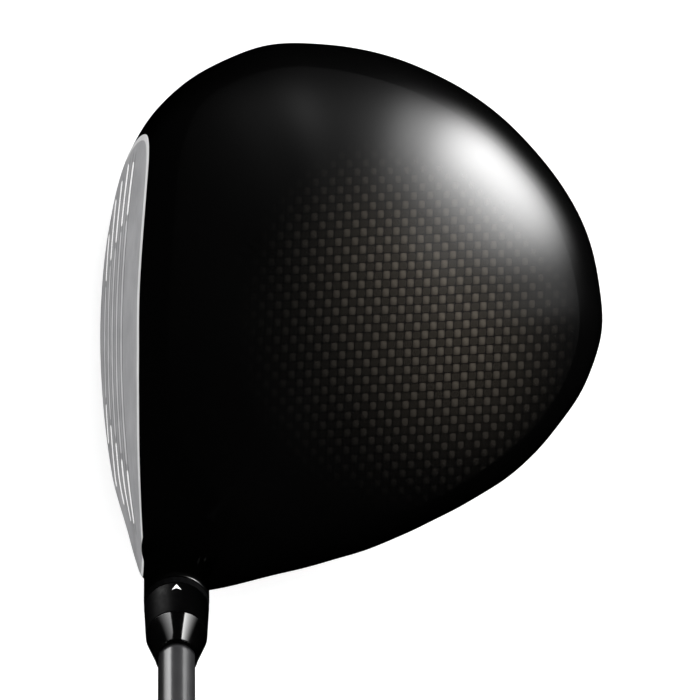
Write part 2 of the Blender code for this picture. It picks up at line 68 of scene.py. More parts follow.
OUTLINE = [
    (60.9, 3.5), (57.9, 20.0), (50.6, 34.1), (38.1, 48.2), (24.5, 57.6), (8.0, 64.1), (-9.4, 66.4),
    (-22.0, 64.9), (-36.8, 57.6), (-46.3, 48.2), (-50.4, 41.0), (-57.0, 29.0), (-66.5, 12.0),
    (-72.0, -6.0), (-68.5, -25.0), (-59.5, -41.0), (-52.2, -52.5), (-47.0, -60.0), (-36.0, -62.8),
    (-21.5, -60.0), (-2.5, -55.3), (11.2, -50.6), (30.2, -41.2), (43.2, -32.0), (54.8, -17.7),
    (59.8, -6.0),
]
OUTLINE_HARMONICS = 26
HEAD_HEIGHT = 58.5
WIDEST_HEIGHT = 27.0
WIDEST_RISE = 3.5
HEEL_LIFT = (5.5, 4.12, 0.38)  # the widest line climbs towards the hosel: amount, direction, spread
CROWN_TILT = 6.0
TILT_REACH = 66.0
CROWN_FULLNESS = (1.9, -0.15)
SOLE_FULLNESS = (1.95, -0.5)
LOW_FULLNESS = 3.0  # a fuller lower edge of the face, most of all towards the toe
LOW_TURN = 2.75
LOW_SPREAD = 0.65
TOE_FULLNESS = 9.0  # an upright wall low on the toe, next to the face
TOE_TURN = 2.42
TOE_SPREAD = 0.37
TOE_RISE = (0.5, 0.92)  # the wall leans back into the dome between these shares of the height
POLE_REACH = 62.0  # the form turns into a plain round dome within POLE_EASE of its top and bottom
POLE_EASE = 30.0

LOFT = math.radians(11.2)
FACE_X = -53.7
FACE_HEIGHT = 33.0
BULGE_CENTRE = -4.2
HEEL_SETBACK = 1.1  # the face turns back a little more towards the heel, from here on
HEEL_START = -35.0
HEEL_LENGTH = 16.0
HEEL_TOP = 41.0  # none of it at this height, all of it this much lower
HEEL_DROP = 14.0
BULGE_RADIUS = 305.0
ROLL_RADIUS = 350.0

CROWN_SEAM = [
    (55.0, 2.0), (46.0, 30.5), (21.5, 52.0), (-9.0, 60.4), (-30.0, 54.6), (-38.0, 42.0),
    (-40.5, 18.0), (-41.5, -6.0), (-39.0, -26.0), (-26.0, -43.0), (-8.0, -51.5), (10.0, -45.5),
    (30.0, -35.5), (47.5, -20.0),
]
SOLE_SEAM_TOE = [(34.0, 18.0), (28.0, 34.0), (6.0, 46.0), (-18.0, 44.0), (-27.0, 28.0), (-10.0, 14.0)]
SOLE_SEAM_HEEL = [(31.0, -15.0), (8.0, -12.0), (-16.0, -15.0), (-18.0, -32.0), (2.0, -39.0), (24.0, -29.0)]

RIM = Vector((-39.6, -64.4, 62.0))
LIE = math.radians(58.0)
SHAFT_AXIS = Vector((0.0, -math.cos(LIE), math.sin(LIE)))
HOSEL_RADIUS = 7.6
HOSEL_BORE = 5.9
PORT_RADIUS = 5.3
PORT_END = -59.4  # heights along the hosel's axis, from its rim
BORE_FLOOR = -36.6
SCREW_SEAT = -39.6
SEAT_HOLE = 2.9
RETAINER_GROOVE = (5.9, -57.1, -58.7)  # radius, upper and lower side

RING_TOP = 2.5
RING_EDGE = 0.12
TANG_FOOT = -1.2
TANG_HALF_ANGLE = 0.19

SLEEVE_FOOT = -36.0
SLEEVE_STEP = -22.0
SLEEVE_RADIUS = 5.6
SLEEVE_SCREW_BORE = 2.65
SLEEVE_SHAFT_BORE = 4.55
COLLAR_FOOT = 2.8
COLLAR_FOOT_RADIUS = 7.5
COLLAR_TOP = 13.8
COLLAR_TOP_RADIUS = 7.1

FERRULE_BORE = 4.5
FERRULE_END = 22.3
FERRULE_TIP_RADIUS = 4.95
FERRULE_RING_END = 23.5

WEIGHTS = {
    "front_weight": {"radius": 8.2, "depth": 4.2, "recess": 0.4},
    "rear_weight": {"radius": 9.5, "depth": 7.0, "recess": 1.2},
}
WEIGHT_SCREW_RADIUS = 1.8
WEIGHT_SCREW_HEAD = 3.5
WEIGHT_SCREW_HEAD_HEIGHT = 2.2
WEIGHT_SCREW_REACH = 6.5

SHAFT_TIP = -21.7
TIP_RADIUS = 4.25
TIP_BORE = 2.5
TIP_PARALLEL = 90.0
BUTT_RADIUS = 7.6
BUTT_BORE = 6.6
SHAFT_END = 1078.6
GRIP_START = 815.0
GRIP_END = 1079.0
CLUB_END = 1083.0

# Score lines: heights of the five, how far their painted ends reach from the face's middle
GROOVES = [
    (38.4, 29.8, 42.4), (32.85, 27.3, 42.0), (27.3, 23.5, 38.2), (21.75, 19.4, 34.0),
    (16.2, 14.5, 29.2),
]
GROOVE_HALF = 0.95
GROOVE_FLOOR = 0.3
GROOVE_DEPTH = 0.5
GROOVE_PAUSE = 1.2
GROOVE_MARGIN = 1.3
GROOVE_PITCH = 5.55

# ---------------------------------------------------------------- the head's form


def spline(points, steps):
    """A closed Catmull-Rom curve through plan points."""
    knots = np.array(points, float)
    curve = []
    for i in range(len(knots)):
        before, start, end, after = (knots[(i + k) % len(knots)] for k in (-1, 0, 1, 2))
        for step in range(steps):
            t = step / steps
            linear = (end - before) * t
            square = (2.0 * before - 5.0 * start + 4.0 * end - after) * t**2
            cube = (3.0 * start - before - 3.0 * end + after) * t**3
            curve.append(0.5 * (2.0 * start + linear + square + cube))
    return np.array(curve)


def polar_reach(curve, turns):
    """How far a closed plan curve lies from the origin in the given directions."""
    around = np.arctan2(curve[:, 1], curve[:, 0])
    order = np.argsort(around)
    return np.interp(turns, around[order], np.hypot(*curve.T)[order], period=FULL_TURN)


def outline_waves():
    """The outline as a few smooth waves, so that its gloss has no kinks."""
    turns = FULL_TURN * np.arange(720) / 720
    waves = np.fft.rfft(polar_reach(spline(OUTLINE, 12), turns)) / 720
    return waves[: OUTLINE_HARMONICS + 1]


WAVES = outline_waves()


def plan_radius(turn):
    reach = np.full(np.shape(turn), WAVES[0].real)
    for k in range(1, len(WAVES)):
        reach = reach + 2.0 * (WAVES[k].real * np.cos(k * turn) - WAVES[k].imag * np.sin(k * turn))
    return reach


def smooth_step(t):
    t = np.clip(t, 0.0, 1.0)
    return t * t * (3.0 - 2.0 * t)


def swell(turn, middle, spread):
    """A smooth bump of height 1 round one direction."""
    off = np.remainder(turn - middle + math.pi, FULL_TURN) - math.pi
    return np.exp(-((off / spread) ** 2))


def fullness(turn, top, rise=0.0):
    """The power that makes the plan squarer, in a direction and at a share of the height."""
    crown = CROWN_FULLNESS[0] + CROWN_FULLNESS[1] * np.cos(turn)
    low = 1.0 - smooth_step((rise - TOE_RISE[0]) / (TOE_RISE[1] - TOE_RISE[0]))
    crown = crown + TOE_FULLNESS * low * swell(turn, TOE_TURN, TOE_SPREAD)
    sole = SOLE_FULLNESS[0] + SOLE_FULLNESS[1] * np.cos(turn)
    return np.where(top, crown, sole + LOW_FULLNESS * swell(turn, LOW_TURN, LOW_SPREAD))


def widest_level(turn):
    return WIDEST_HEIGHT - WIDEST_RISE * np.cos(turn) + HEEL_LIFT[0] * swell(turn, *HEEL_LIFT[1:])


def dome(x, level):
    """How far the crown rises over the widest line."""
    return HEAD_HEIGHT - level - CROWN_TILT * x / TILT_REACH


def eased(x, y):
    """Reach, level and a share at a plan place, calmed near the form's top and bottom."""
    turn = np.arctan2(y, x)
    share = smooth_step(np.hypot(x, y) / POLE_EASE)
    reach = POLE_REACH + (plan_radius(turn) - POLE_REACH) * share
    level = WIDEST_HEIGHT + (widest_level(turn) - WIDEST_HEIGHT) * share
    return reach, level, share


def form_value(points, top):
    """Below 0 inside the head form, 0 on its surface."""
    x, y, z = np.moveaxis(np.asarray(points, float), -1, 0)
    reach, level, share = eased(x, y)
    rise = np.where(top, (z - level) / dome(x, level), (level - z) / level)
    square = 2.0 + (fullness(np.arctan2(y, x), top, rise) - 2.0) * share
    return (np.hypot(x, y) / reach) ** square + np.abs(rise) ** 2 - 1.0


def head_value(points):
    """form_value for places anywhere, above or below the widest line."""
    x, y, z = np.moveaxis(np.asarray(points, float), -1, 0)
    return form_value(points, z >= widest_level(np.arctan2(y, x)))


def head_point(turn, band):
    """The form's surface. band is 0 at the crown's top, 1 on the widest line and 2 underneath."""
    turn, band = np.broadcast_arrays(np.asarray(turn, float), np.asarray(band, float))
    top = band <= 1.0
    lift = np.abs(1.0 - band) * math.pi / 2.0
    spread = np.clip(np.cos(lift), 0.0, 1.0) ** (2.0 / fullness(turn, top, np.sin(lift)))
    reach = plan_radius(turn) * spread
    x, y = reach * np.cos(turn), reach * np.sin(turn)
    calm_reach, level, share = eased(x, y)
    calm_square = 2.0 + (fullness(turn, top, 1.0) - 2.0) * share
    calm = np.sqrt(np.clip(1.0 - (reach / calm_reach) ** calm_square, 0.0, 1.0))
    rise = np.where(reach < POLE_EASE, calm, np.sin(lift))
    return np.stack([x, y, np.where(top, level + dome(x, level) * rise, level * (1.0 - rise))], -1)


def head_place(points):
    """turn and band of places on the form's surface."""
    x, y, z = np.moveaxis(np.asarray(points, float), -1, 0)
    turn = np.arctan2(y, x)
    level = widest_level(turn)
    top = z >= level
    rise = np.clip(np.where(top, (z - level) / dome(x, level), (level - z) / level), 0.0, 1.0)
    flat = np.clip(np.hypot(x, y) / plan_radius(turn), 0.0, 1.0) ** (fullness(turn, top, rise) / 2.0)
    lift = np.where(np.hypot(x, y) < POLE_EASE, np.arccos(flat), np.arctan2(rise, flat))
    return turn, np.where(top, 1.0 - lift / (math.pi / 2.0), 1.0 + lift / (math.pi / 2.0))


def head_normal(points):
    """Outward normals of the form by small differences."""
    points = np.asarray(points, float)
    turn = np.arctan2(points[..., 1], points[..., 0])
    top = points[..., 2] >= widest_level(turn)
    step = 0.05
    slopes = []
    for axis in np.eye(3) * step:
        slopes.append(form_value(points + axis, top) - form_value(points - axis, top))
    normal = np.stack(slopes, -1)
    return normal / np.linalg.norm(normal, axis=-1, keepdims=True)


def face_x(y, z):
    bulge = (y - BULGE_CENTRE) ** 2 / (2.0 * BULGE_RADIUS)
    roll = (z - FACE_HEIGHT) ** 2 / (2.0 * ROLL_RADIUS)
    outward = smooth_step((HEEL_START - y) / HEEL_LENGTH)
    heel = HEEL_SETBACK * outward * smooth_step((HEEL_TOP - z) / HEEL_DROP)
    return FACE_X + (z - FACE_HEIGHT) * math.tan(LOFT) + bulge + roll + heel


def face_point(y, z, depth=0.0):
    return np.stack([face_x(y, z) + depth, y, z], -1)


def bisect(value, low, high, steps=44):
    """Where value, below 0 at low and above 0 at high, crosses 0, for many places at once."""
    for _ in range(steps):
        middle = 0.5 * (low + high)
        inside = value(middle) < 0.0
        low, high = np.where(inside, middle, low), np.where(inside, high, middle)
    return 0.5 * (low + high)


# ---------------------------------------------------------------- the face's border

FACE_MIDDLE = (math.pi + 0.07, 1.0)
FACE_SPAN = (0.9, 0.55)


def border_place(angle, reach):
    turn = FACE_MIDDLE[0] + FACE_SPAN[0] * reach * np.cos(angle)
    return turn, FACE_MIDDLE[1] - FACE_SPAN[1] * reach * np.sin(angle)


def border_reach(angle):
    """How far from the face's middle the form meets the face, in each direction of border_place."""

    def behind(reach):
        x, y, z = np.moveaxis(head_point(*border_place(angle, reach)), -1, 0)
        return x - face_x(y, z)

    return bisect(behind, np.full(np.shape(angle), 0.15), np.full(np.shape(angle), 1.7))


def border_angles(count):
    """Directions whose border points are evenly spaced along the border."""
    angles = np.linspace(0.0, FULL_TURN, 2401)
    points = head_point(*border_place(angles, border_reach(angles)))
    run = np.concatenate([[0.0], np.cumsum(np.linalg.norm(np.diff(points, axis=0), axis=1))])
    return np.interp(np.arange(count) * run[-1] / count, run, angles)


BORDER_COUNT = 420
BORDER_ANGLES = border_angles(BORDER_COUNT)
BORDER_REACH = border_reach(BORDER_ANGLES)
FACE_CORNERS = head_point(*border_place(BORDER_ANGLES, BORDER_REACH))


def border_rounding():
    """The rounding at the face's border: small along the top, wider at the toe and underneath."""
    below = smooth_step((26.0 - FACE_CORNERS[:, 2]) / 16.0)
    toe = smooth_step((FACE_CORNERS[:, 1] - 30.0) / 12.0)
    return 0.42 + 0.2 * toe + 0.9 * below


ROUNDING = border_rounding()


def border_back(distance):
    """The border moved back over the form by a distance that may differ from point to point."""
    step = 0.002
    there = head_point(*border_place(BORDER_ANGLES, BORDER_REACH + step))
    pace = np.linalg.norm(there - FACE_CORNERS, axis=1) / step
    return border_place(BORDER_ANGLES, BORDER_REACH + distance / pace)


def border_inset():
    """The border drawn in over the face by its rounding, as (y, z)."""
    flat = FACE_CORNERS[:, 1:]
    ahead = np.roll(flat, -2, axis=0) - np.roll(flat, 2, axis=0)
    inward = np.stack([-ahead[:, 1], ahead[:, 0]], -1)
    middle = np.array([BULGE_CENTRE, FACE_HEIGHT - 2.0]) - flat
    inward *= np.sign(np.sum(inward * middle, axis=1))[:, None]
    inward /= np.linalg.norm(inward, axis=1)[:, None]
    middle /= np.linalg.norm(middle, axis=1)[:, None]
    tip = smooth_step((np.abs(flat[:, 0] - BULGE_CENTRE) - 40.0) / 8.0)[:, None]
    way = inward * (1.0 - 0.8 * tip) + middle * tip * 1.3
    return flat + way * ROUNDING[:, None]


# ---------------------------------------------------------------- mesh tools


class Skin:
    """Points, faces and their material numbers, gathered in millimetres."""

    def __init__(self):
        self.points = []
        self.faces = []
        self.marks = []

    def add(self, points, faces, mark=0):
        first = len(self.points)
        self.points.extend(np.asarray(points, float).reshape(-1, 3).tolist())
        self.faces.extend([tuple(first + int(i) for i in face) for face in faces])
        self.marks.extend([mark] * len(faces) if isinstance(mark, int) else [int(m) for m in mark])

    def rows(self, rings, closed=True, mark=0):
        """Quads between rings of equally many points. A ring may be a single point."""
        for low, high in zip(rings, rings[1:]):
            low, high = np.atleast_2d(low), np.atleast_2d(high)
            count = max(len(low), len(high))
            faces = []
            for i in range(count if closed else count - 1):
                j = (i + 1) % count
                if len(low) == 1:
                    faces.append((0, 1 + j, 1 + i))
                elif len(high) == 1:
                    faces.append((i, j, len(low)))
                else:
                    faces.append((i, j, len(low) + j, len(low) + i))
            self.add(np.concatenate([low, high]), faces, mark)


def in_polygon(places, polygon):
    """Which plan places lie inside a closed polygon."""
    x, y = places[:, 0][:, None], places[:, 1][:, None]
    ax, ay = polygon[:, 0][None], polygon[:, 1][None]
    bx, by = np.roll(polygon[:, 0], -1)[None], np.roll(polygon[:, 1], -1)[None]
    spans = (ay > y) != (by > y)
    with np.errstate(divide="ignore", invalid="ignore"):
        meets = ax + (y - ay) * (bx - ax) / (by - ay)
    return (np.count_nonzero(spans & (x < meets), axis=1) % 2) == 1


def far_from(places, polygon, distance):
    """Which plan places keep a distance from every point of a polygon."""
    gap = np.linalg.norm(places[:, None] - polygon[None], axis=2)
    return gap.min(axis=1) > distance


def fill(outer, holes, loose, margin):
    """Triangles over a region with holes, using the loose plan points that lie in it."""
    keep = in_polygon(loose, outer) & far_from(loose, outer, margin)
    for hole in holes:
        keep &= ~in_polygon(loose, hole) & far_from(loose, hole, margin)
    loops = [outer, *holes]
    places = np.concatenate([*loops, loose[keep]])
    edges = []
    first = 0
    for loop in loops:
        edges += [(first + i, first + (i + 1) % len(loop)) for i in range(len(loop))]
        first += len(loop)
    result = delaunay_2d_cdt([Vector(p) for p in places], edges, [], 0, 1e-7)
    flat = np.array([tuple(p) for p in result[0]])
    triangles = np.array(result[2])
    middles = flat[triangles].mean(axis=1)
    good = in_polygon(middles, outer)
    for hole in holes:
        good &= ~in_polygon(middles, hole)
    return flat, triangles[good]


def along(origin, direction):
    """The placing matrix whose z axis runs along a direction, as in the CAD."""
    z = Vector(direction).normalized()
    x = Vector((0.0, 1.0, 0.0)).cross(z).normalized()
    turn = Matrix((x, z.cross(x), z)).transposed().to_4x4()
    return Matrix.Translation(origin) @ turn


HOSEL = along(RIM, SHAFT_AXIS)


def placed(place, points):
    matrix = np.array(place)
    return np.asarray(points, float) @ matrix[:3, :3].T + matrix[:3, 3]


def circle(radius, height, turns):
    turns = np.asarray(turns, float)
    height = np.broadcast_to(height, turns.shape)
    return np.stack([radius * np.cos(turns), radius * np.sin(turns), height], -1)


def even_turns(count):
    return FULL_TURN * np.arange(count) / count


def pierce(place, radius, turns, outside, inside):
    """Where lines parallel to a placed z axis enter the head, between two heights."""

    def value(height):
        return head_value(placed(place, circle(radius, height, turns)))

    heights = bisect(value, np.full(len(turns), inside), np.full(len(turns), outside))
    return placed(place, circle(radius, heights, turns)), heights


def softened(profile, closed=True):
    """A profile of (radius, height, rounding) corners, each rounded by its own amount."""
    corners = [np.array(corner[:2], float) for corner in profile]
    result = []
    for i, corner in enumerate(profile):
        rounding = corner[2] if len(corner) > 2 else 0.0
        here = corners[i]
        if rounding == 0.0 or (not closed and i in (0, len(profile) - 1)):
            result.append(here)
            continue
        before, after = corners[i - 1], corners[(i + 1) % len(corners)]
        start = here + (before - here) / np.linalg.norm(before - here) * rounding
        end = here + (after - here) / np.linalg.norm(after - here) * rounding
        for t in (0.0, 0.25, 0.5, 0.75, 1.0):
            result.append((1.0 - t) ** 2 * start + 2.0 * t * (1.0 - t) * here + t * t * end)
    return result


def turned(skin, profile, place, sides=96, closed=True, mark=0):
    """Revolve a softened profile about the placed z axis."""
    turns = even_turns(sides)
    rings = []
    for radius, height in softened(profile, closed):
        if radius < 1e-6:
            rings.append(placed(place, np.array([[0.0, 0.0, height]])))
        else:
            rings.append(placed(place, circle(radius, height, turns)))
    if closed:
        rings.append(rings[0])
    skin.rows(rings, mark=mark)


def make_piece(name, skin, body, looks, nodes=(), on_form=False, sharp=28.0):
    """One object from a skin, riding on a body and standing for its CAD nodes."""
    mesh = bmesh.new()
    verts = [mesh.verts.new(Vector(p) * MM) for p in skin.points]
    for face, mark in zip(skin.faces, skin.marks):
        if len(set(face)) == len(face):
            made = mesh.faces.new([verts[i] for i in face])
            made.material_index = mark
            made.smooth = True
    bmesh.ops.remove_doubles(mesh, verts=mesh.verts, dist=2e-6)
    bmesh.ops.dissolve_degenerate(mesh, edges=mesh.edges, dist=1e-7)
    bmesh.ops.recalc_face_normals(mesh, faces=mesh.faces)
    data = bpy.data.meshes.new(name)
    mesh.to_mesh(data)
    mesh.free()
    for look in looks:
        data.materials.append(look)
    data.set_sharp_from_angle(angle=math.radians(sharp))
    thing = bpy.data.objects.new(name, data)
    bpy.context.scene.collection.objects.link(thing)
    if on_form:
        face_out(data)
        smooth_on_form(data)
    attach(thing, body)
    thing.visible_glossy = body != "head"  # the black head doesn't mirror itself in its own neck
    if nodes:
        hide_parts(*nodes)
    return thing


def turned_piece(name, profile, body, look, node, place=HOSEL, sides=96):
    """A piece revolved from a closed profile."""
    skin = Skin()
    turned(skin, profile, place, sides)
    return make_piece(name, skin, body, [look], [node])


def face_out(data):
    """Turn an open skin of the head so that its faces look out."""
    centres = np.array([tuple(p.center) for p in data.polygons]) / MM
    normals = np.array([tuple(p.normal) for p in data.polygons])
    sizes = np.array([p.area for p in data.polygons])
    if np.sum(np.sum(normals * head_normal(centres), axis=1) * sizes) < 0.0:
        data.flip_normals()


def smooth_on_form(data):
    """Give the corners that lie on the head form its exact normals, for clean gloss."""
    count = len(data.vertices)
    points = np.empty(count * 3)
    data.vertices.foreach_get("co", points)
    points = points.reshape(-1, 3) / MM
    on_form = np.abs(head_value(points)) < 2e-4
    exact = head_normal(points)
    corners = np.empty(len(data.loops) * 3)
    data.corner_normals.foreach_get("vector", corners)
    corners = corners.reshape(-1, 3)
    users = np.empty(len(data.loops), int)
    data.loops.foreach_get("vertex_index", users)
    wanted = exact[users]
    agree = on_form[users] & (np.sum(wanted * corners, axis=1) > 0.94)
    corners[agree] = wanted[agree]
    data.normals_split_custom_set(corners.tolist())


# ---------------------------------------------------------------- materials

CLEAR_COAT = {"Coat_Weight": 1.0, "Coat_Roughness": 0.16, "Coat_IOR": 1.5}
PAINT_SPECULAR = 0.018
PAINT_LINE = 17.0  # the gloss paint ends and the satin sole begins at this height
PAINT_SPARE = 4.0  # the sole's own material reaches this much higher, where it is glossy too
WEAVE = 2.02  # one tow's width
WEAVE_LEAN = 0.04  # how far the rows slant
WEAVE_SQUEEZE = 0.95  # how much narrower the tows are along x
WEAVE_MIDDLE = (14.5, 0.0)  # where the cloth shows most, and how far it reaches
WEAVE_SPAN = (42.0, 47.0)


class Nodes:
    """A node tree. Each node is added with its inputs, by name or number."""

    def __init__(self, tree):
        self.tree = tree

    def feed(self, socket, value):
        if isinstance(value, bpy.types.NodeSocket):
            self.tree.links.new(value, socket)
        else:
            socket.default_value = value

    def node(self, kind, inputs=None, **settings):
        made = self.tree.nodes.new("ShaderNode" + kind)
        for key, value in settings.items():
            setattr(made, key, value)
        for key, value in (inputs or {}).items():
            self.feed(made.inputs[key], value)
        return made

    def math(self, operation, *values):
        return self.node("Math", dict(enumerate(values)), operation=operation).outputs[0]

    def plus(self, first, second):
        return self.math("ADD", first, second)

    def minus(self, first, second):
        return self.math("SUBTRACT", first, second)

    def times(self, first, second):
        return self.math("MULTIPLY", first, second)

    def over(self, first, second):
        return self.math("DIVIDE", first, second)


class Look(Nodes):
    """A procedural material, with the values of its surface by name."""

    def __init__(self, name, **surface):
        self.material = bpy.data.materials.new(name)
        self.material.use_nodes = True
        super().__init__(self.material.node_tree)
        self.shader = self.tree.nodes["Principled BSDF"]
        for key, value in surface.items():
            socket = self.shader.inputs[key.replace("_", " ")]
            socket.default_value = (*value, 1.0) if isinstance(value, tuple) else value

    def scale(self, value, low, high, to_low=0.0, to_high=1.0):
        """Smoothly from to_low at the value low to to_high at the value high."""
        ends = {"From Min": low, "From Max": high, "To Min": to_low, "To Max": to_high}
        made = self.node("MapRange", {"Value": value, **ends}, interpolation_type="SMOOTHSTEP")
        return made.outputs["Result"]

    def mix(self, share, first, second):
        made = self.node("Mix", data_type="RGBA")
        self.feed(made.inputs["Factor"], share)
        for socket, colour in ((made.inputs[6], first), (made.inputs[7], second)):
            self.feed(socket, (*colour, 1.0) if isinstance(colour, tuple) else colour)
        return made.outputs[2]

    def place(self):
        """Object coordinates in millimetres, whole and as x, y and z."""
        whole = self.node("TexCoord").outputs["Object"]
        sized = self.node("VectorMath", {0: whole, "Scale": 1.0 / MM}, operation="SCALE")
        split = self.node("SeparateXYZ", {0: sized.outputs[0]})
        return sized.outputs[0], *split.outputs

    def turned_place(self, place):
        """Coordinates in millimetres in a placed frame: across, across and along its axis."""
        whole, *_ = self.place()
        inverse = place.inverted()
        angles = inverse.to_euler()
        moved = self.node(
            "Mapping",
            {"Vector": whole, "Location": inverse.translation, "Rotation": angles},
            vector_type="POINT",
        )
        split = self.node("SeparateXYZ", {0: moved.outputs[0]})
        return moved.outputs[0], *split.outputs

    def noise(self, vector, size, detail=2.0, stretch=None):
        """Noise whose grain is about size millimetres, optionally stretched."""
        if stretch is not None:
            made = self.node("VectorMath", {0: vector, 1: stretch}, operation="MULTIPLY")
            vector = made.outputs[0]
        made = self.node("TexNoise", {"Vector": vector, "Scale": 1.0 / size, "Detail": detail})
        return made.outputs[0]

    def bump(self, height, distance, strength=1.0):
        made = self.node("Bump", {"Height": height, "Distance": distance * MM, "Strength": strength})
        return made.outputs[0]

    def set(self, name, value):
        self.feed(self.shader.inputs[name], value)


def gloss_paint():
    """Deep black paint under clear coat, with a trace of orange peel and dust-fine flake."""
    look = Look("gloss_black_paint", Roughness=0.4, Specular_IOR_Level=PAINT_SPECULAR, **CLEAR_COAT)
    whole, *_ = look.place()
    flake = look.noise(whole, 0.12, 1.0)
    colour = look.mix(look.scale(flake, 0.62, 0.8), (0.0006, 0.0006, 0.0006), (0.002, 0.002, 0.0022))
    look.set("Base Color", colour)
    peel = look.noise(whole, 1.6, 1.0)
    look.set("Coat Normal", look.bump(peel, 0.002))
    return look.material


def sole_paint():
    """Satin black metal under the skirt: fine blasted grain, brighter where the turf rubs it.

    Above the paint line it is glossy like the paint.
    """
    look = Look("satin_sole", **CLEAR_COAT)
    whole, _, _, z = look.place()
    glossy = look.scale(z, PAINT_LINE - 0.15, PAINT_LINE + 0.15)
    look.set("Coat Weight", glossy)
    look.set("Metallic", look.scale(glossy, 0.0, 1.0, 0.35, 0.0))
    look.set("Specular IOR Level", look.scale(glossy, 0.0, 1.0, 0.5, PAINT_SPECULAR))
    grain = look.noise(whole, 0.25, 3.0)
    scuffs = look.noise(whole, 1.1, 4.0, stretch=(0.25, 3.0, 1.0))
    worn = look.times(look.scale(scuffs, 0.56, 0.72), look.scale(z, 5.0, 0.5))
    colour = look.mix(grain, (0.012, 0.012, 0.013), (0.022, 0.022, 0.024))
    satin = look.mix(look.times(worn, 0.55), colour, (0.16, 0.16, 0.165))
    look.set("Base Color", look.mix(glossy, satin, (0.001, 0.001, 0.0011)))
    look.set("Roughness", look.scale(grain, 0.3, 0.7, 0.36, 0.5))
    look.set("Normal", look.bump(grain, 0.02))
    return look.material


def weave_nodes(look, pitch):
    """Plain weave in the plan plane: which tow is on top, its domed height, and a painted sheen across each
    cell.
    """
    whole, x, y, _ = look.place()
    wander = look.times(look.minus(look.noise(whole, 22.0, 1.0), 0.5), 0.5)
    lean = look.minus(x, look.times(y, WEAVE_LEAN))
    rise = look.minus(y, look.times(x, WEAVE_LEAN))
    across = look.over(look.plus(lean, wander), pitch * WEAVE_SQUEEZE)
    down = look.over(look.plus(rise, wander), pitch)
    cells = look.plus(look.math("FLOOR", across), look.math("FLOOR", down))
    weft = look.math("MODULO", look.math("ABSOLUTE", cells), 2.0)
    arches = [look.math("SINE", look.times(look.math("FRACT", run), math.pi)) for run in (across, down)]
    domes = []
    for wide, narrow in (arches, arches[::-1]):
        domes.append(look.times(look.math("POWER", narrow, 0.35), look.math("POWER", wide, 0.75)))
    height = look.node("Mix", {0: weft, 2: domes[1], 3: domes[0]}).outputs[0]
    # painted sheen: each cell is lighter towards its +x and +y corner, standing in for light on the crimped
    # tow
    painted_sheen = look.plus(look.math("FRACT", across), look.math("FRACT", down))
    fibres_x = look.noise(whole, 0.16, 2.0, stretch=(0.06, 1.0, 1.0))
    fibres_y = look.noise(whole, 0.16, 2.0, stretch=(1.0, 0.06, 1.0))
    fibres = look.node("Mix", {0: weft, 2: fibres_y, 3: fibres_x}).outputs[0]
    return whole, x, y, weft, height, fibres, painted_sheen


def carbon(name, fades):
    """Carbon fibre cloth under clear coat. Its tows carry painted light: lit and shaded copies of one
    fibre, lighter on their crowns, darker in the gaps between them. On the crown it fades to black all
    round, and is painted lighter towards the back and the toe, where the softbox shines.
    """
    look = Look(name, Roughness=0.45, Specular_IOR_Level=0.08, **CLEAR_COAT)
    whole, x, y, weft, height, fibres, painted_sheen = weave_nodes(look, WEAVE)
    # painted light on the tows: each is lighter on its crown and towards one corner (painted highlight),
    # the gaps between tows get painted shade, and the bright and dark tows are lit and shaded copies of one
    # fibre
    curve = look.scale(painted_sheen, 0.3, 1.5, 0.35, 1.25)
    shown = look.times(look.times(weft, look.scale(height, 0.1, 1.0)), curve)
    bright = look.mix(fibres, (0.034, 0.0288, 0.0222), (0.068, 0.058, 0.0462))
    dark = look.mix(fibres, (0.009, 0.0075, 0.0055), (0.019, 0.0158, 0.0117))
    dark = look.mix(look.scale(height, 0.0, 0.6), (0.003, 0.0025, 0.002), dark)
    cloth = look.mix(shown, dark, bright)
    if fades:
        dx = look.over(look.minus(x, WEAVE_MIDDLE[0]), WEAVE_SPAN[0])
        dy = look.over(look.minus(y, WEAVE_MIDDLE[1]), WEAVE_SPAN[1])
        square = look.plus(look.times(dx, dx), look.times(dy, dy))
        far = look.math("SQRT", square)
        fade_and_painted_light = look.scale(far, 1.0, 0.25)
        # painted light: on top of the printed fade, the cloth is lighter towards the back and the toe,
        # where the toe softbox shines, and darker towards the face and heel
        painted_light_slope = look.plus(look.times(x, 0.85), look.times(y, 0.5))
        fade_and_painted_light = look.times(fade_and_painted_light, look.scale(painted_light_slope, -18.0, 30.0, 0.2, 1.0))
        cloth = look.mix(fade_and_painted_light, (0.0007, 0.0007, 0.0007), cloth)
        height = look.times(height, fade_and_painted_light)
    look.set("Base Color", cloth)
    look.set("Normal", look.bump(height, 0.04, 0.6))
    peel = look.noise(whole, 1.6, 1.0)
    look.set("Coat Normal", look.bump(peel, 0.002))
    return look.material


def titanium(name, light, dark, roughness, metallic=0.45):
    """Bare titanium with a fine brushed and blasted grain."""
    look = Look(name, Roughness=roughness, Metallic=metallic)
    whole, *_ = look.place()
    brushed = look.noise(whole, 0.35, 3.0, stretch=(1.0, 0.05, 1.0))
    blasted = look.noise(whole, 0.18, 2.0)
    cloudy = look.noise(whole, 9.0, 2.0)
    tone = look.plus(look.times(brushed, 0.5), look.times(cloudy, 0.5))
    look.set("Base Color", look.mix(look.scale(tone, 0.32, 0.68), dark, light))
    look.set("Roughness", look.scale(blasted, 0.3, 0.7, roughness - 0.06, roughness + 0.06))
    both = look.plus(look.times(brushed, 0.5), blasted)
    look.set("Normal", look.bump(both, 0.012, 0.7))
    return look


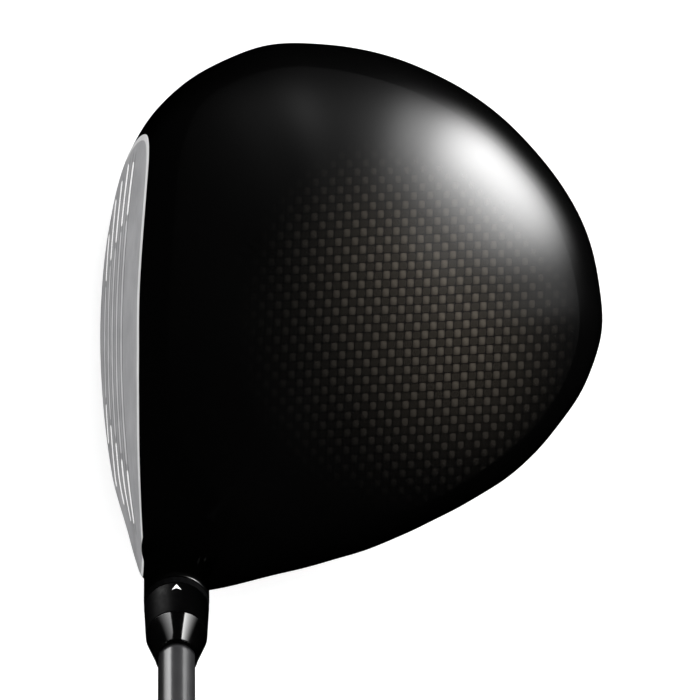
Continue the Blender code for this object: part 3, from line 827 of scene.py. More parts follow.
def painted_groove_shade(look, dark):
    """Painted shade: fine darker lines along both lips of every groove, standing in for their shade and
    dark reflections.
    """
    _, _, y, z = look.place()
    first = GROOVES[-1][0]
    run = look.plus(look.minus(z, first), GROOVE_PITCH / 2.0)
    inside = look.minus(look.math("MODULO", run, GROOVE_PITCH), GROOVE_PITCH / 2.0)
    off = look.math("ABSOLUTE", inside)
    lip = look.math("ABSOLUTE", look.minus(off, GROOVE_HALF + 0.35))
    lip = look.scale(lip, 0.5, 0.1)
    across = look.math("ABSOLUTE", look.minus(y, BULGE_CENTRE))
    reach = look.scale(z, GROOVES[-1][0], GROOVES[0][0], GROOVES[-1][2] + 1.0, GROOVES[0][2] + 3.0)
    near = look.minus(reach, across)
    lip = look.times(lip, look.scale(near, 0.0, 1.5))
    lip = look.times(lip, look.scale(z, first - 2.5, first - 2.0))
    lip = look.times(lip, look.scale(z, GROOVES[0][0] + 2.5, GROOVES[0][0] + 2.0))
    plain = look.shader.inputs["Base Color"].links[0].from_socket
    look.set("Base Color", look.mix(look.times(lip, 0.75), plain, dark))
    return look.material


def line_paint():
    """The white paint in the ends of the grooves, and on the collar's mark."""
    look = Look("line_paint", Roughness=0.5)
    whole, *_ = look.place()
    grain = look.noise(whole, 0.3, 3.0)
    tone = look.scale(grain, 0.35, 0.7)
    look.set("Base Color", look.mix(tone, (0.78, 0.78, 0.78), (0.92, 0.92, 0.92)))
    look.set("Normal", look.bump(grain, 0.02, 0.6))
    return look.material


def steel(name, light, dark, roughness, place, metallic=0.85):
    """Machined steel: turning marks round the piece's own axis, faint stains."""
    look = Look(name, Roughness=roughness, Metallic=metallic)
    whole, x, y, z = look.turned_place(place)
    radius = look.math("SQRT", look.plus(look.times(x, x), look.times(y, y)))
    rings = look.node("CombineXYZ", {0: radius, 1: z, 2: 0.0}).outputs[0]
    marks = look.noise(rings, 0.14, 2.0)
    stains = look.noise(whole, 2.5, 3.0)
    tone = look.plus(look.times(marks, 0.6), look.times(stains, 0.4))
    look.set("Base Color", look.mix(look.scale(tone, 0.35, 0.65), dark, light))
    look.set("Roughness", look.scale(stains, 0.3, 0.7, roughness - 0.07, roughness + 0.07))
    look.set("Normal", look.bump(marks, 0.01, 0.6))
    return look.material


def anodised():
    """Black anodised aluminium, finely turned, its tone faintly uneven."""
    look = Look("black_anodised", Roughness=0.42, Specular_IOR_Level=0.03)
    whole, _, _, z = look.turned_place(HOSEL)
    rings = look.node("CombineXYZ", {0: 0.0, 1: 0.0, 2: z}).outputs[0]
    marks = look.noise(rings, 0.12, 2.0)
    tone = look.noise(whole, 1.5, 3.0)
    look.set("Base Color", look.mix(tone, (0.0012, 0.0012, 0.0013), (0.0028, 0.0028, 0.003)))
    look.set("Roughness", look.scale(tone, 0.3, 0.7, 0.36, 0.48))
    look.set("Normal", look.bump(marks, 0.008, 0.6))
    return look.material


def gloss_plastic():
    look = Look("ferrule_plastic", Roughness=0.12, Coat_Weight=0.6, Coat_Roughness=0.06)
    whole, *_ = look.turned_place(HOSEL)
    smear = look.noise(whole, 3.0, 3.0)
    fine = look.noise(whole, 0.2, 2.0, stretch=(1.0, 1.0, 0.1))
    look.set("Base Color", look.mix(smear, (0.0006, 0.0006, 0.0006), (0.0016, 0.0016, 0.0016)))
    look.set("Roughness", look.scale(smear, 0.3, 0.7, 0.09, 0.16))
    look.set("Normal", look.bump(fine, 0.002, 0.5))
    return look.material


def shaft_finish():
    """Grey metallic lacquer over graphite: fine flake, faint wound bands under it."""
    look = Look("graphite_shaft", Roughness=0.36, Metallic=0.35, Coat_Weight=1.0, Coat_Roughness=0.2)
    whole, x, y, z = look.turned_place(HOSEL)
    turn = look.math("ARCTAN2", y, x)
    flake = look.noise(whole, 0.1, 2.0)
    wound = look.plus(look.times(turn, 1.0 / FULL_TURN), look.over(z, 11.0))
    band = look.math("SINE", look.times(wound, FULL_TURN))
    tone = look.plus(look.times(flake, 0.8), look.times(band, 0.03))
    tone = look.scale(tone, 0.25, 0.6)
    look.set("Base Color", look.mix(tone, (0.024, 0.024, 0.0255), (0.042, 0.042, 0.044)))
    look.set("Roughness", look.scale(flake, 0.3, 0.7, 0.31, 0.41))
    look.set("Normal", look.bump(flake, 0.004, 0.5))
    return look.material


def grip_rubber():
    """Moulded rubber: matt, finely textured, a little smoother in broad patches."""
    look = Look("grip_rubber", Roughness=0.8)
    whole, *_ = look.turned_place(HOSEL)
    pores = look.noise(whole, 0.35, 4.0)
    wear = look.noise(whole, 14.0, 2.0)
    look.set("Base Color", look.mix(pores, (0.010, 0.010, 0.010), (0.026, 0.026, 0.027)))
    look.set("Roughness", look.scale(wear, 0.35, 0.65, 0.66, 0.85))
    look.set("Normal", look.bump(pores, 0.05, 0.8))
    return look.material


def soft_look(name, light, dark, grain):
    """Foam or paper tape."""
    look = Look(name, Roughness=0.85)
    whole, *_ = look.place()
    tone = look.noise(whole, grain, 4.0)
    look.set("Base Color", look.mix(tone, dark, light))
    look.set("Normal", look.bump(tone, 0.08, 0.7))
    return look.material


# ---------------------------------------------------------------- the hosel's blend into the head

NECK_SIDES = 96
NECK_TURNS = even_turns(NECK_SIDES)
TUBE_TOP = -1.4


def neck_width(turn):
    """How far the neck's foot spreads: wide over the crown, close behind the face."""
    return 0.45 + 5.6 * (0.5 + 0.5 * np.cos(turn - 0.87)) ** 2.2


def neck_foot():
    return pierce(HOSEL, HOSEL_RADIUS + neck_width(NECK_TURNS), NECK_TURNS, -2.0, -40.0)


def neck(skin):
    """A smooth curve from the head's surface up on to the hosel's tube, then its rim and bore."""
    foot, heights = neck_foot()
    axis = np.array(SHAFT_AXIS)
    normal = head_normal(foot)
    climb = axis - (normal @ axis)[:, None] * normal
    climb /= np.linalg.norm(climb, axis=1)[:, None]
    top_heights = np.minimum(heights + 1.2 + 2.1 * neck_width(NECK_TURNS), TUBE_TOP - 1.0)
    top = placed(HOSEL, circle(HOSEL_RADIUS, top_heights, NECK_TURNS))
    pull = 0.42 * np.linalg.norm(top - foot, axis=1)[:, None]
    rings = []
    for t in np.linspace(0.0, 1.0, 19):
        ring = (1.0 - t) ** 3 * foot + 3.0 * t * (1.0 - t) ** 2 * (foot + climb * pull)
        ring = ring + 3.0 * t * t * (1.0 - t) * (top - axis * pull) + t**3 * top
        rings.append(ring)
    for t in np.linspace(0.0, 1.0, 9)[1:]:
        height = top_heights + (TUBE_TOP - top_heights) * t
        rings.append(placed(HOSEL, circle(HOSEL_RADIUS, height, NECK_TURNS)))
    skin.rows(rings)
    return foot


def rim_and_bore(skin):
    """The hosel's rim, its bore with the screw's seat, and the port the screw goes in by."""
    groove, groove_top, groove_foot = RETAINER_GROOVE
    rim = [
        (HOSEL_RADIUS, TUBE_TOP), (HOSEL_RADIUS, 0.0, 0.35), (HOSEL_BORE, 0.0, 0.35),
        (HOSEL_BORE, BORE_FLOOR, 0.3), (SEAT_HOLE, BORE_FLOOR, 0.2), (SEAT_HOLE, SCREW_SEAT, 0.2),
        (PORT_RADIUS, SCREW_SEAT, 0.3), (PORT_RADIUS, groove_top), (groove, groove_top),
        (groove, groove_foot), (PORT_RADIUS, groove_foot), (PORT_RADIUS, PORT_END),
    ]
    turned(skin, rim, HOSEL, NECK_SIDES, closed=False)
    outlet, _ = pierce(HOSEL, PORT_RADIUS + 0.5, NECK_TURNS, -90.0, -50.0)
    skin.rows([outlet, chamfer_ring(outlet), placed(HOSEL, circle(PORT_RADIUS, PORT_END, NECK_TURNS))])
    return outlet


def chamfer_ring(outlet):
    """The port's mouth: its edge drawn in and up, on to the port's own wall."""
    inverse = np.array(HOSEL.inverted())
    local = outlet @ inverse[:3, :3].T + inverse[:3, 3]
    shrink = PORT_RADIUS / np.linalg.norm(local[:, :2], axis=1)
    local[:, :2] *= shrink[:, None]
    local[:, 2] += 0.6
    return placed(HOSEL, local)


# ---------------------------------------------------------------- weights' places


def joint_place(name):
    """A hinge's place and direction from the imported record, in millimetres."""
    joint = next(j for j in frame["joints"] if j["name"] == name)
    return along(Vector(joint["pos_m"]) / MM, joint["axis"])


WEIGHT_PLACES = {name: joint_place(name.replace("_weight", "_screw_turn")) for name in WEIGHTS}


def weight_port(skin, name):
    """The chamfered pocket for a weight. Returns its mouth on the sole."""
    weight, place = WEIGHTS[name], WEIGHT_PLACES[name]
    turns = even_turns(72)
    radius = weight["radius"] + GAP
    mouth, _ = pierce(place, radius + 0.45, turns, 12.0, -12.0)
    lip, lip_heights = pierce(place, radius, turns, 12.0, -12.0)
    floor = -(weight["depth"] + weight["recess"] + GAP)
    lip = placed(place, circle(radius, lip_heights - 0.4, turns))
    bottom = placed(place, circle(radius, floor, turns))
    hole = placed(place, circle(WEIGHT_SCREW_RADIUS + GAP, floor, turns))
    deepest = floor - WEIGHT_SCREW_REACH
    end = placed(place, circle(WEIGHT_SCREW_RADIUS + GAP, deepest, turns))
    skin.rows([mouth, lip, bottom, hole, end, placed(place, np.array([[0.0, 0.0, deepest]]))])
    return mouth


# ---------------------------------------------------------------- head pieces

SPLIT = 1.25  # the band where the upper and the lower half of the frame meet
COLUMNS = 300
LOOSE_PACE = 0.024  # how far apart the loose points of a half lie, in its plane
LOOSE_MARGIN = 0.011  # and how far they keep from every border


def upper_plane(turn, band):
    return np.stack([band * np.cos(turn), band * np.sin(turn)], -1)


def upper_surface(flat):
    return head_point(np.arctan2(flat[:, 1], flat[:, 0]), np.hypot(flat[:, 0], flat[:, 1]))


def lower_plane(turn, band):
    return upper_plane(turn, 2.0 - band)


def lower_surface(flat):
    return head_point(np.arctan2(flat[:, 1], flat[:, 0]), 2.0 - np.hypot(flat[:, 0], flat[:, 1]))


def seam_band(turns):
    """The band at which the crown's seam lies in each direction."""
    reach = polar_reach(spline(CROWN_SEAM, 12), turns)

    def beyond(band):
        return np.hypot(*head_point(turns, band)[:, :2].T) - reach

    return bisect(beyond, np.full(len(turns), 0.2), np.full(len(turns), 1.0))


def split_path():
    """The frame's border with the face in two halves, and the split line that joins their ends."""
    turn, band = border_back(ROUNDING)
    count = len(turn)
    heel_side = np.cos(BORDER_ANGLES) > 0.0
    heel = min((i for i in range(count) if heel_side[i]), key=lambda i: abs(band[i] - SPLIT))
    toe = min((i for i in range(count) if not heel_side[i]), key=lambda i: abs(band[i] - SPLIT))
    upper = [(toe - k) % count for k in range(count)]
    upper = upper[: upper.index(heel) + 1]
    if min(band[upper]) > SPLIT - 0.1:
        upper = [(toe + k) % count for k in range(count)]
        upper = upper[: upper.index(heel) + 1]
    across = np.linspace(turn[heel], turn[toe] + FULL_TURN, COLUMNS)[1:-1]
    return turn, band, upper, across


def lower_order(upper):
    """The lower half of the border, in order from heel to toe."""
    step = 1 if (upper[1] - upper[0]) % BORDER_COUNT == 1 else -1
    order = [upper[-1]]
    while order[-1] != upper[0]:
        order.append((order[-1] + step) % BORDER_COUNT)
    return order


def frame_shell(paint, sole_look):
    """The titanium frame: crown rim, skirt, sole and the hosel's rim and bore as one skin.
    The hosel's neck is a piece of its own.
    """
    tube = Skin()
    foot = neck(tube)
    hosel = make_piece("hosel_neck", tube, "head", [paint])
    skin = Skin()
    outlet = rim_and_bore(skin)
    turn, band, upper, across = split_path()
    split = [(t, SPLIT) for t in across]
    rim = [(turn[i], band[i]) for i in upper]
    outer = upper_plane(*np.array([*rim, *split]).T)
    seam_turns = even_turns(COLUMNS)
    seam = upper_plane(seam_turns, seam_band(seam_turns))
    foot_plane = upper_plane(*head_place(foot))
    flat, faces = fill(outer, [seam, foot_plane], loose_points(SPLIT), LOOSE_MARGIN)
    skin.add(upper_surface(flat), faces)

    low_rim = [(turn[i], band[i]) for i in lower_order(upper)]
    outer = lower_plane(*np.array([*low_rim, *split[::-1]]).T)
    mouths = [weight_port(skin, name) for name in WEIGHTS]
    holes = [lower_plane(*head_place(ring)) for ring in (outlet, *mouths)]
    for seam in (SOLE_SEAM_TOE, SOLE_SEAM_HEEL):
        ring = sole_ring(seam, 0.0)
        holes.append(lower_plane(*head_place(ring)))
        skin.rows([ring, ring + np.array([0.0, 0.0, 0.9])])
    flat, faces = fill(outer, holes, loose_points(2.0 - SPLIT), LOOSE_MARGIN)
    surface = lower_surface(flat)
    middles = surface[faces].mean(axis=1)
    skin.add(surface, faces, (middles[:, 2] < PAINT_LINE + PAINT_SPARE).astype(int))
    make_piece("frame_shell", skin, "head", [paint, sole_look], ["body_frame"], True)
    return hosel


def loose_points(limit):
    """Evenly spread points in the plane of a half, out to a limit."""
    rows = [np.zeros((1, 2))]
    for k in range(1, int(limit / LOOSE_PACE)):
        count = 6 * k
        turns = even_turns(count) + 0.5 * k
        rows.append(upper_plane(turns, np.full(count, k * LOOSE_PACE)))
    return np.concatenate(rows)


def inset(curve, distance):
    """As in the CAD: a closed plan curve drawn in towards its middle."""
    way = curve.mean(axis=0) - curve
    return curve + way / np.linalg.norm(way, axis=1)[:, None] * distance


def sole_ring(seam, distance):
    """A sole seam's points on the sole."""
    plan = inset(spline(seam, 14), distance)
    turn = np.arctan2(plan[:, 1], plan[:, 0])
    share = np.hypot(*plan.T) / plan_radius(turn)
    lift = np.arccos(share ** (fullness(turn, False) / 2.0))
    return head_point(turn, 1.0 + lift / (math.pi / 2.0))


def sole_window(name, seam, look):
    skin = Skin()
    ring = sole_ring(seam, 0.35)
    outer = lower_plane(*head_place(ring))
    flat, faces = fill(outer, [], loose_points(2.0 - SPLIT), LOOSE_MARGIN)
    skin.add(lower_surface(flat), faces)
    chamfer = sole_ring(seam, 0.15) + np.array([0.0, 0.0, 0.12])
    skin.rows([ring, chamfer, sole_ring(seam, 0.12) + np.array([0.0, 0.0, 0.8])])
    return make_piece(name + "_skin", skin, "head", [look], [name], True)


def crown_panel(look):
    """The crown: rings from its top out to the seam."""
    skin = Skin()
    turns = even_turns(COLUMNS)
    edge = seam_band(turns)
    rings = [head_point(np.array([0.0]), np.array([0.0]))]
    rings += [head_point(turns, edge * share) for share in np.linspace(0.0, 1.0, 44)[1:]]
    skin.rows(rings)
    return make_piece("crown_skin", skin, "head", [look], ["crown_panel"], True)


def slot_ring(height, start, end, half, count=14):
    """A groove's outline on the face, as (y, z): two straight sides and round ends."""
    straight = np.linspace(start, end, count)[1:-1]
    arc = np.linspace(-0.5 * math.pi, 0.5 * math.pi, 7)
    right = np.stack([end - half + half * np.cos(arc), height + half * np.sin(arc)], -1)
    left = np.stack([start + half - half * np.cos(arc), height - half * np.sin(arc)], -1)
    inner = straight[(straight > start + half * 1.5) & (straight < end - half * 1.5)]
    top = np.stack([inner[::-1], np.full(len(inner), height + half)], -1)
    low = np.stack([inner, np.full(len(inner), height - half)], -1)
    return np.concatenate([low, right, top, left])


def groove_list(border):
    """Each groove as (height, start, end, painted), kept a little inside the face's border."""
    grooves = []
    for height, inner, outer in GROOVES:
        near = border[np.abs(border[:, 1] - height) < GROOVE_HALF + 0.5, 0]
        heel = max(BULGE_CENTRE - outer, near[near < BULGE_CENTRE].max() + GROOVE_MARGIN)
        toe = min(BULGE_CENTRE + outer, near[near > BULGE_CENTRE].min() - GROOVE_MARGIN)
        left, right = BULGE_CENTRE - inner, BULGE_CENTRE + inner
        grooves.append((height, left + GROOVE_PAUSE, right - GROOVE_PAUSE, False))
        grooves.append((height, heel, left, True))
        grooves.append((height, right, toe, True))
    return grooves


def face_skin(plain, edge, paint, groove):
    """The striking face: rounded border, real grooves, the outer ones filled with paint."""
    skin = Skin()
    flat_border = border_inset()
    holes = []
    for height, start, end, painted in groove_list(flat_border):
        count = int((end - start) / 1.1) + 2
        wide = slot_ring(height, start, end, GROOVE_HALF, count)
        deep = GROOVE_DEPTH - (0.1 if painted else 0.0)
        narrow = wide.copy()
        middle = np.clip(wide[:, 0], start + GROOVE_HALF, end - GROOVE_HALF)
        narrow[:, 0] = middle + (wide[:, 0] - middle) * GROOVE_FLOOR / GROOVE_HALF
        narrow[:, 1] = height + (wide[:, 1] - height) * GROOVE_FLOOR / GROOVE_HALF
        # the bare grooves take the lighter groove look: a painted highlight on their flanks
        mark = 2 if painted else 3
        skin.rows([face_point(*wide.T), face_point(*narrow.T, deep)], mark=mark)
        flat, faces = fill(narrow, [], np.zeros((0, 2)), 0.0)
        skin.add(face_point(*flat.T, deep), faces, mark)
        holes.append(wide)
    steps_y = np.arange(-64.0, 60.0, 2.0)
    steps_z = np.arange(4.0, 60.0, 2.0)
    loose = np.stack(np.meshgrid(steps_y, steps_z), -1).reshape(-1, 2)
    loose[:, 0] += np.where(np.round(loose[:, 1] / 2.0) % 2 == 0, 0.5, -0.5)
    flat, faces = fill(flat_border, holes, loose, 0.7)
    skin.add(face_point(*flat.T), faces, 0)
    inner = face_point(*flat_border.T)
    outer = head_point(*border_back(ROUNDING))
    rings = []
    for t in np.linspace(0.0, 1.0, 7):
        rings.append((1.0 - t) ** 2 * outer + 2.0 * t * (1.0 - t) * FACE_CORNERS + t * t * inner)
    # the rounded border takes the edge look: a polished bevel, painted lighter as its highlight
    skin.rows(rings, mark=1)
    looks = [plain, edge, paint, groove]
    return make_piece("face_skin", skin, "head", looks, ["face_plate"], sharp=24.0)


# ---------------------------------------------------------------- weights and screws

SCREW_SIDES = 72
THREAD_DEPTH = 0.32


def lobed_socket(skin, place, top, depth, radius):
    """A six-lobed driver socket of the given radius, sunk into a screw's head."""
    turns = even_turns(SCREW_SIDES)
    lobes = radius * (0.86 + 0.14 * np.cos(6.0 * turns))
    mouth = circle(1.0, top, turns)
    mouth[:, :2] *= lobes[:, None] * 1.08
    wall = circle(1.0, top - 0.15, turns)
    wall[:, :2] *= lobes[:, None]
    deep = wall.copy()
    deep[:, 2] = top - depth
    centre = np.array([[0.0, 0.0, top - depth - 0.3]])
    skin.rows([placed(place, ring) for ring in (mouth, wall, deep, centre)])
    return placed(place, mouth)


def weight_disc(name, look):
    """A round weight with a stepped face: a shallow ring sunk between its rim and the screw's head."""
    weight, place = WEIGHTS[name], WEIGHT_PLACES[name]
    top = -weight["recess"]
    floor = top - weight["depth"]
    shoulder = top - WEIGHT_SCREW_HEAD_HEIGHT - GAP
    bore = WEIGHT_SCREW_RADIUS + GAP
    head = WEIGHT_SCREW_HEAD + GAP
    rim = weight["radius"]
    profile = [
        (bore, floor, 0.15), (rim, floor, 0.3), (rim, top, 0.45), (rim - 1.5, top, 0.12),
        (rim - 1.8, top - 0.35, 0.12), (head + 1.1, top - 0.35, 0.12), (head + 0.9, top, 0.12),
        (head, top, 0.25), (head, shoulder, 0.15), (bore, shoulder, 0.15),
    ]
    return turned_piece(name + "_disc", profile, name, look, name, place)


def weight_screw(name, look):
    weight, place = WEIGHTS[name], WEIGHT_PLACES[name]
    top = -weight["recess"] - GAP
    shoulder = -weight["recess"] - WEIGHT_SCREW_HEAD_HEIGHT
    tip = -weight["recess"] - weight["depth"] - GAP - WEIGHT_SCREW_REACH
    skin = Skin()
    profile = [(0.0, tip), (WEIGHT_SCREW_RADIUS, tip, 0.4)]
    profile += thread(WEIGHT_SCREW_RADIUS, tip + 0.6, shoulder - 1.2, 0.7)
    rim = WEIGHT_SCREW_HEAD
    inner = 2.2  # from here in the head's face narrows to the socket's lobes
    profile += [(WEIGHT_SCREW_RADIUS, shoulder), (rim, shoulder, 0.2), (rim, top, 0.4), (inner, top)]
    turned(skin, profile, place, SCREW_SIDES, closed=False)
    mouth = lobed_socket(skin, place, top, 1.5, 1.7)
    skin.rows([placed(place, circle(inner, top, even_turns(SCREW_SIDES))), mouth])
    return make_piece(name + "_screw_part", skin, name + "_screw", [look], [name + "_screw"])


def thread(radius, start, end, pitch):
    """Thread crests and roots along a screw, kept inside its plain radius."""
    corners = []
    height = start
    root = radius - THREAD_DEPTH
    while height + pitch <= end:
        corners += [(root, height), (root, height + 0.12 * pitch)]
        corners += [(radius, height + 0.45 * pitch), (radius, height + 0.6 * pitch)]
        height += pitch
    corners.append((root, height))
    return corners


def hosel_screw(look):
    skin = Skin()
    head, seat, end = 4.4, -41.9, -47.0
    tip, radius, inner = -28.0, 2.4, 3.0
    profile = [(0.0, tip), (radius - 0.6, tip, 0.2), (radius, tip - 1.0, 0.1)]
    profile += reversed(thread(radius, -38.0, tip - 1.4, 0.8))
    profile += [(radius, seat, 0.1), (head, seat, 0.3), (head, end, 0.6), (inner, end)]
    turned(skin, profile, HOSEL, SCREW_SIDES, closed=False)
    flipped = HOSEL @ Matrix.Translation((0.0, 0.0, end)) @ Matrix.Rotation(math.pi, 4, "X")
    mouth = lobed_socket(skin, flipped, 0.0, 2.8, 2.3)
    skin.rows([placed(flipped, circle(inner, 0.0, even_turns(SCREW_SIDES))), mouth])
    return make_piece("hosel_screw_part", skin, "hosel_screw", [look], ["hosel_screw"])


# ---------------------------------------------------------------- hosel adapter, shaft and grip


def index_ring(look):
    """The toothed ring: four tangs below, fine notches round its rim."""
    turns = even_turns(96)
    dips = 7.55 - RING_EDGE * smooth_step((np.cos(24.0 * turns) - 0.2) / 0.6)
    off = np.abs(np.remainder(turns + FULL_TURN / 8, FULL_TURN / 4) - FULL_TURN / 8)
    drop = np.where(off < TANG_HALF_ANGLE, TANG_FOOT, GAP)
    section = [
        (HOSEL_BORE, RING_TOP), (HOSEL_BORE, GAP), (6.0, GAP), (6.0, drop), (6.9, drop), (6.9, GAP),
        (dips - RING_EDGE, GAP), (dips, GAP + RING_EDGE), (dips, RING_TOP - RING_EDGE),
        (dips - RING_EDGE, RING_TOP),
    ]
    rings = [placed(HOSEL, circle(radius, height, turns)) for radius, height in section]
    skin = Skin()
    skin.rows([*rings, rings[0]])
    return make_piece("index_ring_part", skin, "index_ring", [look], ["index_ring"])


def collar_radius(s):
    """The collar narrows a little from its foot to its top."""
    return COLLAR_FOOT_RADIUS - 0.4 * (s - COLLAR_FOOT) / 11.0


def adapter(look, mark_look):
    """The sleeve with its collar, and a plain arrowhead that marks its setting."""
    profile = [
        (SLEEVE_SCREW_BORE, SLEEVE_FOOT, 0.2), (SLEEVE_RADIUS, SLEEVE_FOOT, 0.5),
        (SLEEVE_RADIUS, COLLAR_FOOT), (COLLAR_FOOT_RADIUS, COLLAR_FOOT, 0.22),
        (COLLAR_TOP_RADIUS, COLLAR_TOP, 0.18), (SLEEVE_SHAFT_BORE, COLLAR_TOP, 0.1),
        (SLEEVE_SHAFT_BORE, SLEEVE_STEP, 0.2), (SLEEVE_SCREW_BORE, SLEEVE_STEP, 0.2),
    ]
    part = turned_piece(
        "adapter_part", profile, "shaft_assembly", look, "adapter_sleeve"
    )
    mark = Skin()
    tip, foot, half, notch = 3.5, 5.6, 1.12, 0.6
    across = np.linspace(-1.0, 1.0, 9)
    rings = []
    for share in np.linspace(0.0, 1.0, 7):
        s = tip + (foot - tip) * share - notch * (1.0 - np.abs(across)) * share**3
        angles = 0.5 * math.pi + across * half * max(share, 0.02) / 7.4
        rings.append(placed(HOSEL, circle(collar_radius(s) + 0.03, s, angles)))
    mark.rows(rings, closed=False)
    make_piece("setting_mark", mark, "shaft_assembly", [mark_look])
    return part


def ferrule(look):
    """The tapered trim over the collar, down to its slim upper end."""
    foot, end = COLLAR_TOP + GAP, FERRULE_END
    profile = [
        (FERRULE_BORE, foot, 0.1), (COLLAR_TOP_RADIUS, foot, 0.12), (FERRULE_TIP_RADIUS, end, 0.12),
        (FERRULE_BORE, end, 0.1),
    ]
    return turned_piece("ferrule_part", profile, "shaft_assembly", look, "ferrule")


def ferrule_ring(look):
    foot, end = FERRULE_END + GAP, FERRULE_RING_END
    profile = [
        (FERRULE_BORE, foot, 0.08), (FERRULE_TIP_RADIUS, foot, 0.15), (FERRULE_TIP_RADIUS - 0.15, end, 0.2),
        (FERRULE_BORE, end, 0.08),
    ]
    return turned_piece("ferrule_ring_part", profile, "shaft_assembly", look, "ferrule_ring")


def shaft_radius(s, tip=TIP_RADIUS, butt=BUTT_RADIUS):
    share = (s - TIP_PARALLEL) / (SHAFT_END - TIP_PARALLEL)
    return tip + (butt - tip) * max(share, 0.0)


def shaft(look):
    """The hollow tube, parallel at its tip and tapered up to the butt."""
    stops = [SHAFT_TIP, 0.0, 45.0, TIP_PARALLEL, *np.linspace(160.0, GRIP_START, 12), 950.0, SHAFT_END]
    outer = [(shaft_radius(s), s, 0.2 if s in (SHAFT_TIP, SHAFT_END) else 0.0) for s in stops]
    inner = [(shaft_radius(s, TIP_BORE, BUTT_BORE), s) for s in reversed(stops)]
    return turned_piece(
        "shaft_part", outer + inner, "shaft_assembly", look, "shaft", sides=80
    )


def grip_radius(s):
    return 9.3 + (13.3 - 9.3) * np.clip((s - GRIP_START - 1.5) / (GRIP_END - GRIP_START - 1.5), 0.0, 1.0)


def grip(look):
    """The rubber sleeve: rounded mouth, rings near it, rows of moulded wedges along the hands."""
    skin = Skin()
    sides = 160
    turns = even_turns(sides)
    heights = np.concatenate([np.arange(GRIP_START + 3.0, GRIP_END - 1.0, 1.1), [GRIP_END - 0.6]])
    rings = [placed(HOSEL, circle(shaft_radius(GRIP_START) + 1.0, GRIP_START + 0.4, turns))]
    for radius, height in ((8.3, 0.0), (8.8, 0.15), (9.2, 0.7), (9.3, 1.5)):
        rings.append(placed(HOSEL, circle(radius, GRIP_START + height, turns)))
    for s in heights:
        depth = grip_pattern(turns, s)
        ring = circle(1.0, s, turns)
        ring[:, :2] *= (grip_radius(s) - depth)[:, None]
        rings.append(placed(HOSEL, ring))
    rings.append(placed(HOSEL, circle(13.0, GRIP_END, turns)))
    rings.append(placed(HOSEL, circle(shaft_radius(SHAFT_END) + 1.0, GRIP_END, turns)))
    rings.append(rings[0])
    skin.rows(rings)
    return make_piece("grip_part", skin, "shaft_assembly", [look], ["grip"])


def grip_pattern(turns, s):
    """How deep the moulding is cut: slanted grooves in two bands, plain rings between them."""
    run = s - GRIP_START
    slant = np.abs(np.remainder(turns * 9.0 / math.pi + run / 7.0, 2.0) - 1.0)
    counter = np.abs(np.remainder(turns * 9.0 / math.pi - run / 7.0, 2.0) - 1.0)
    cut = 0.35 * smooth_step((0.28 - np.minimum(slant, counter)) / 0.2)
    lower = smooth_step((run - 26.0) / 4.0) * smooth_step((128.0 - run) / 4.0)
    upper = smooth_step((run - 138.0) / 4.0) * smooth_step((250.0 - run) / 4.0)
    rings = 0.3 * smooth_step((math.cos(run * FULL_TURN / 4.4) - 0.55) / 0.3)
    near = smooth_step((22.0 - run) / 2.0) * smooth_step((run - 5.0) / 2.0)
    between = smooth_step((run - 129.0) / 1.0) * smooth_step((137.0 - run) / 1.0)
    return cut * (lower + upper) + rings * (near + between)


def grip_cap(look):
    """The cap over the grip's end: a rounded rim, a shallow ring and the vent hole."""
    profile = [
        (1.5, 1079.3, 0.1), (13.3, 1079.3, 0.2), (13.3, 1080.5, 0.4), (12.3, CLUB_END, 1.1),
        (9.4, CLUB_END, 0.15), (9.2, CLUB_END - 0.35, 0.1), (8.6, CLUB_END - 0.35, 0.1),
        (8.4, CLUB_END, 0.15), (1.5, CLUB_END, 0.4),
    ]
    return turned_piece("grip_cap_part", profile, "shaft_assembly", look, "grip_cap")


# ---------------------------------------------------------------- lights, floor and camera

LOBE_MIDDLE = (0.06, 0.04)
LOBE_FADE = (0.27, 0.42, 0.42, 0.38)  # to either side, above, below
STRIP_ELEVATION = -14.0
STRIP_DISTANCE = 1.1
STRIP_HEIGHT = 1.3


def floor():
    """A wide pale floor, and the look that lights it evenly."""
    spot = (0.0, 0.0, -0.4 * MM)
    bpy.ops.mesh.primitive_grid_add(x_subdivisions=24, y_subdivisions=24, size=160.0, location=spot)
    ground = bpy.context.object
    ground.name = "studio_floor"
    look = Look(
        "pale_floor", Base_Color=(0.86, 0.86, 0.86), Roughness=0.9,
        Emission_Color=(1.0, 1.0, 1.0), Emission_Strength=0.42,
    )
    ground.data.materials.append(look.material)
    ground.visible_glossy = False
    ground.visible_shadow = False


def world():
    scene = bpy.context.scene
    sky = bpy.data.worlds.new("studio")
    scene.world = sky
    sky.use_nodes = True
    background = sky.node_tree.nodes["Background"]
    background.inputs["Color"].default_value = (1.0, 1.0, 1.0, 1.0)
    background.inputs["Strength"].default_value = 1.0
    sky.cycles_visibility.glossy = False


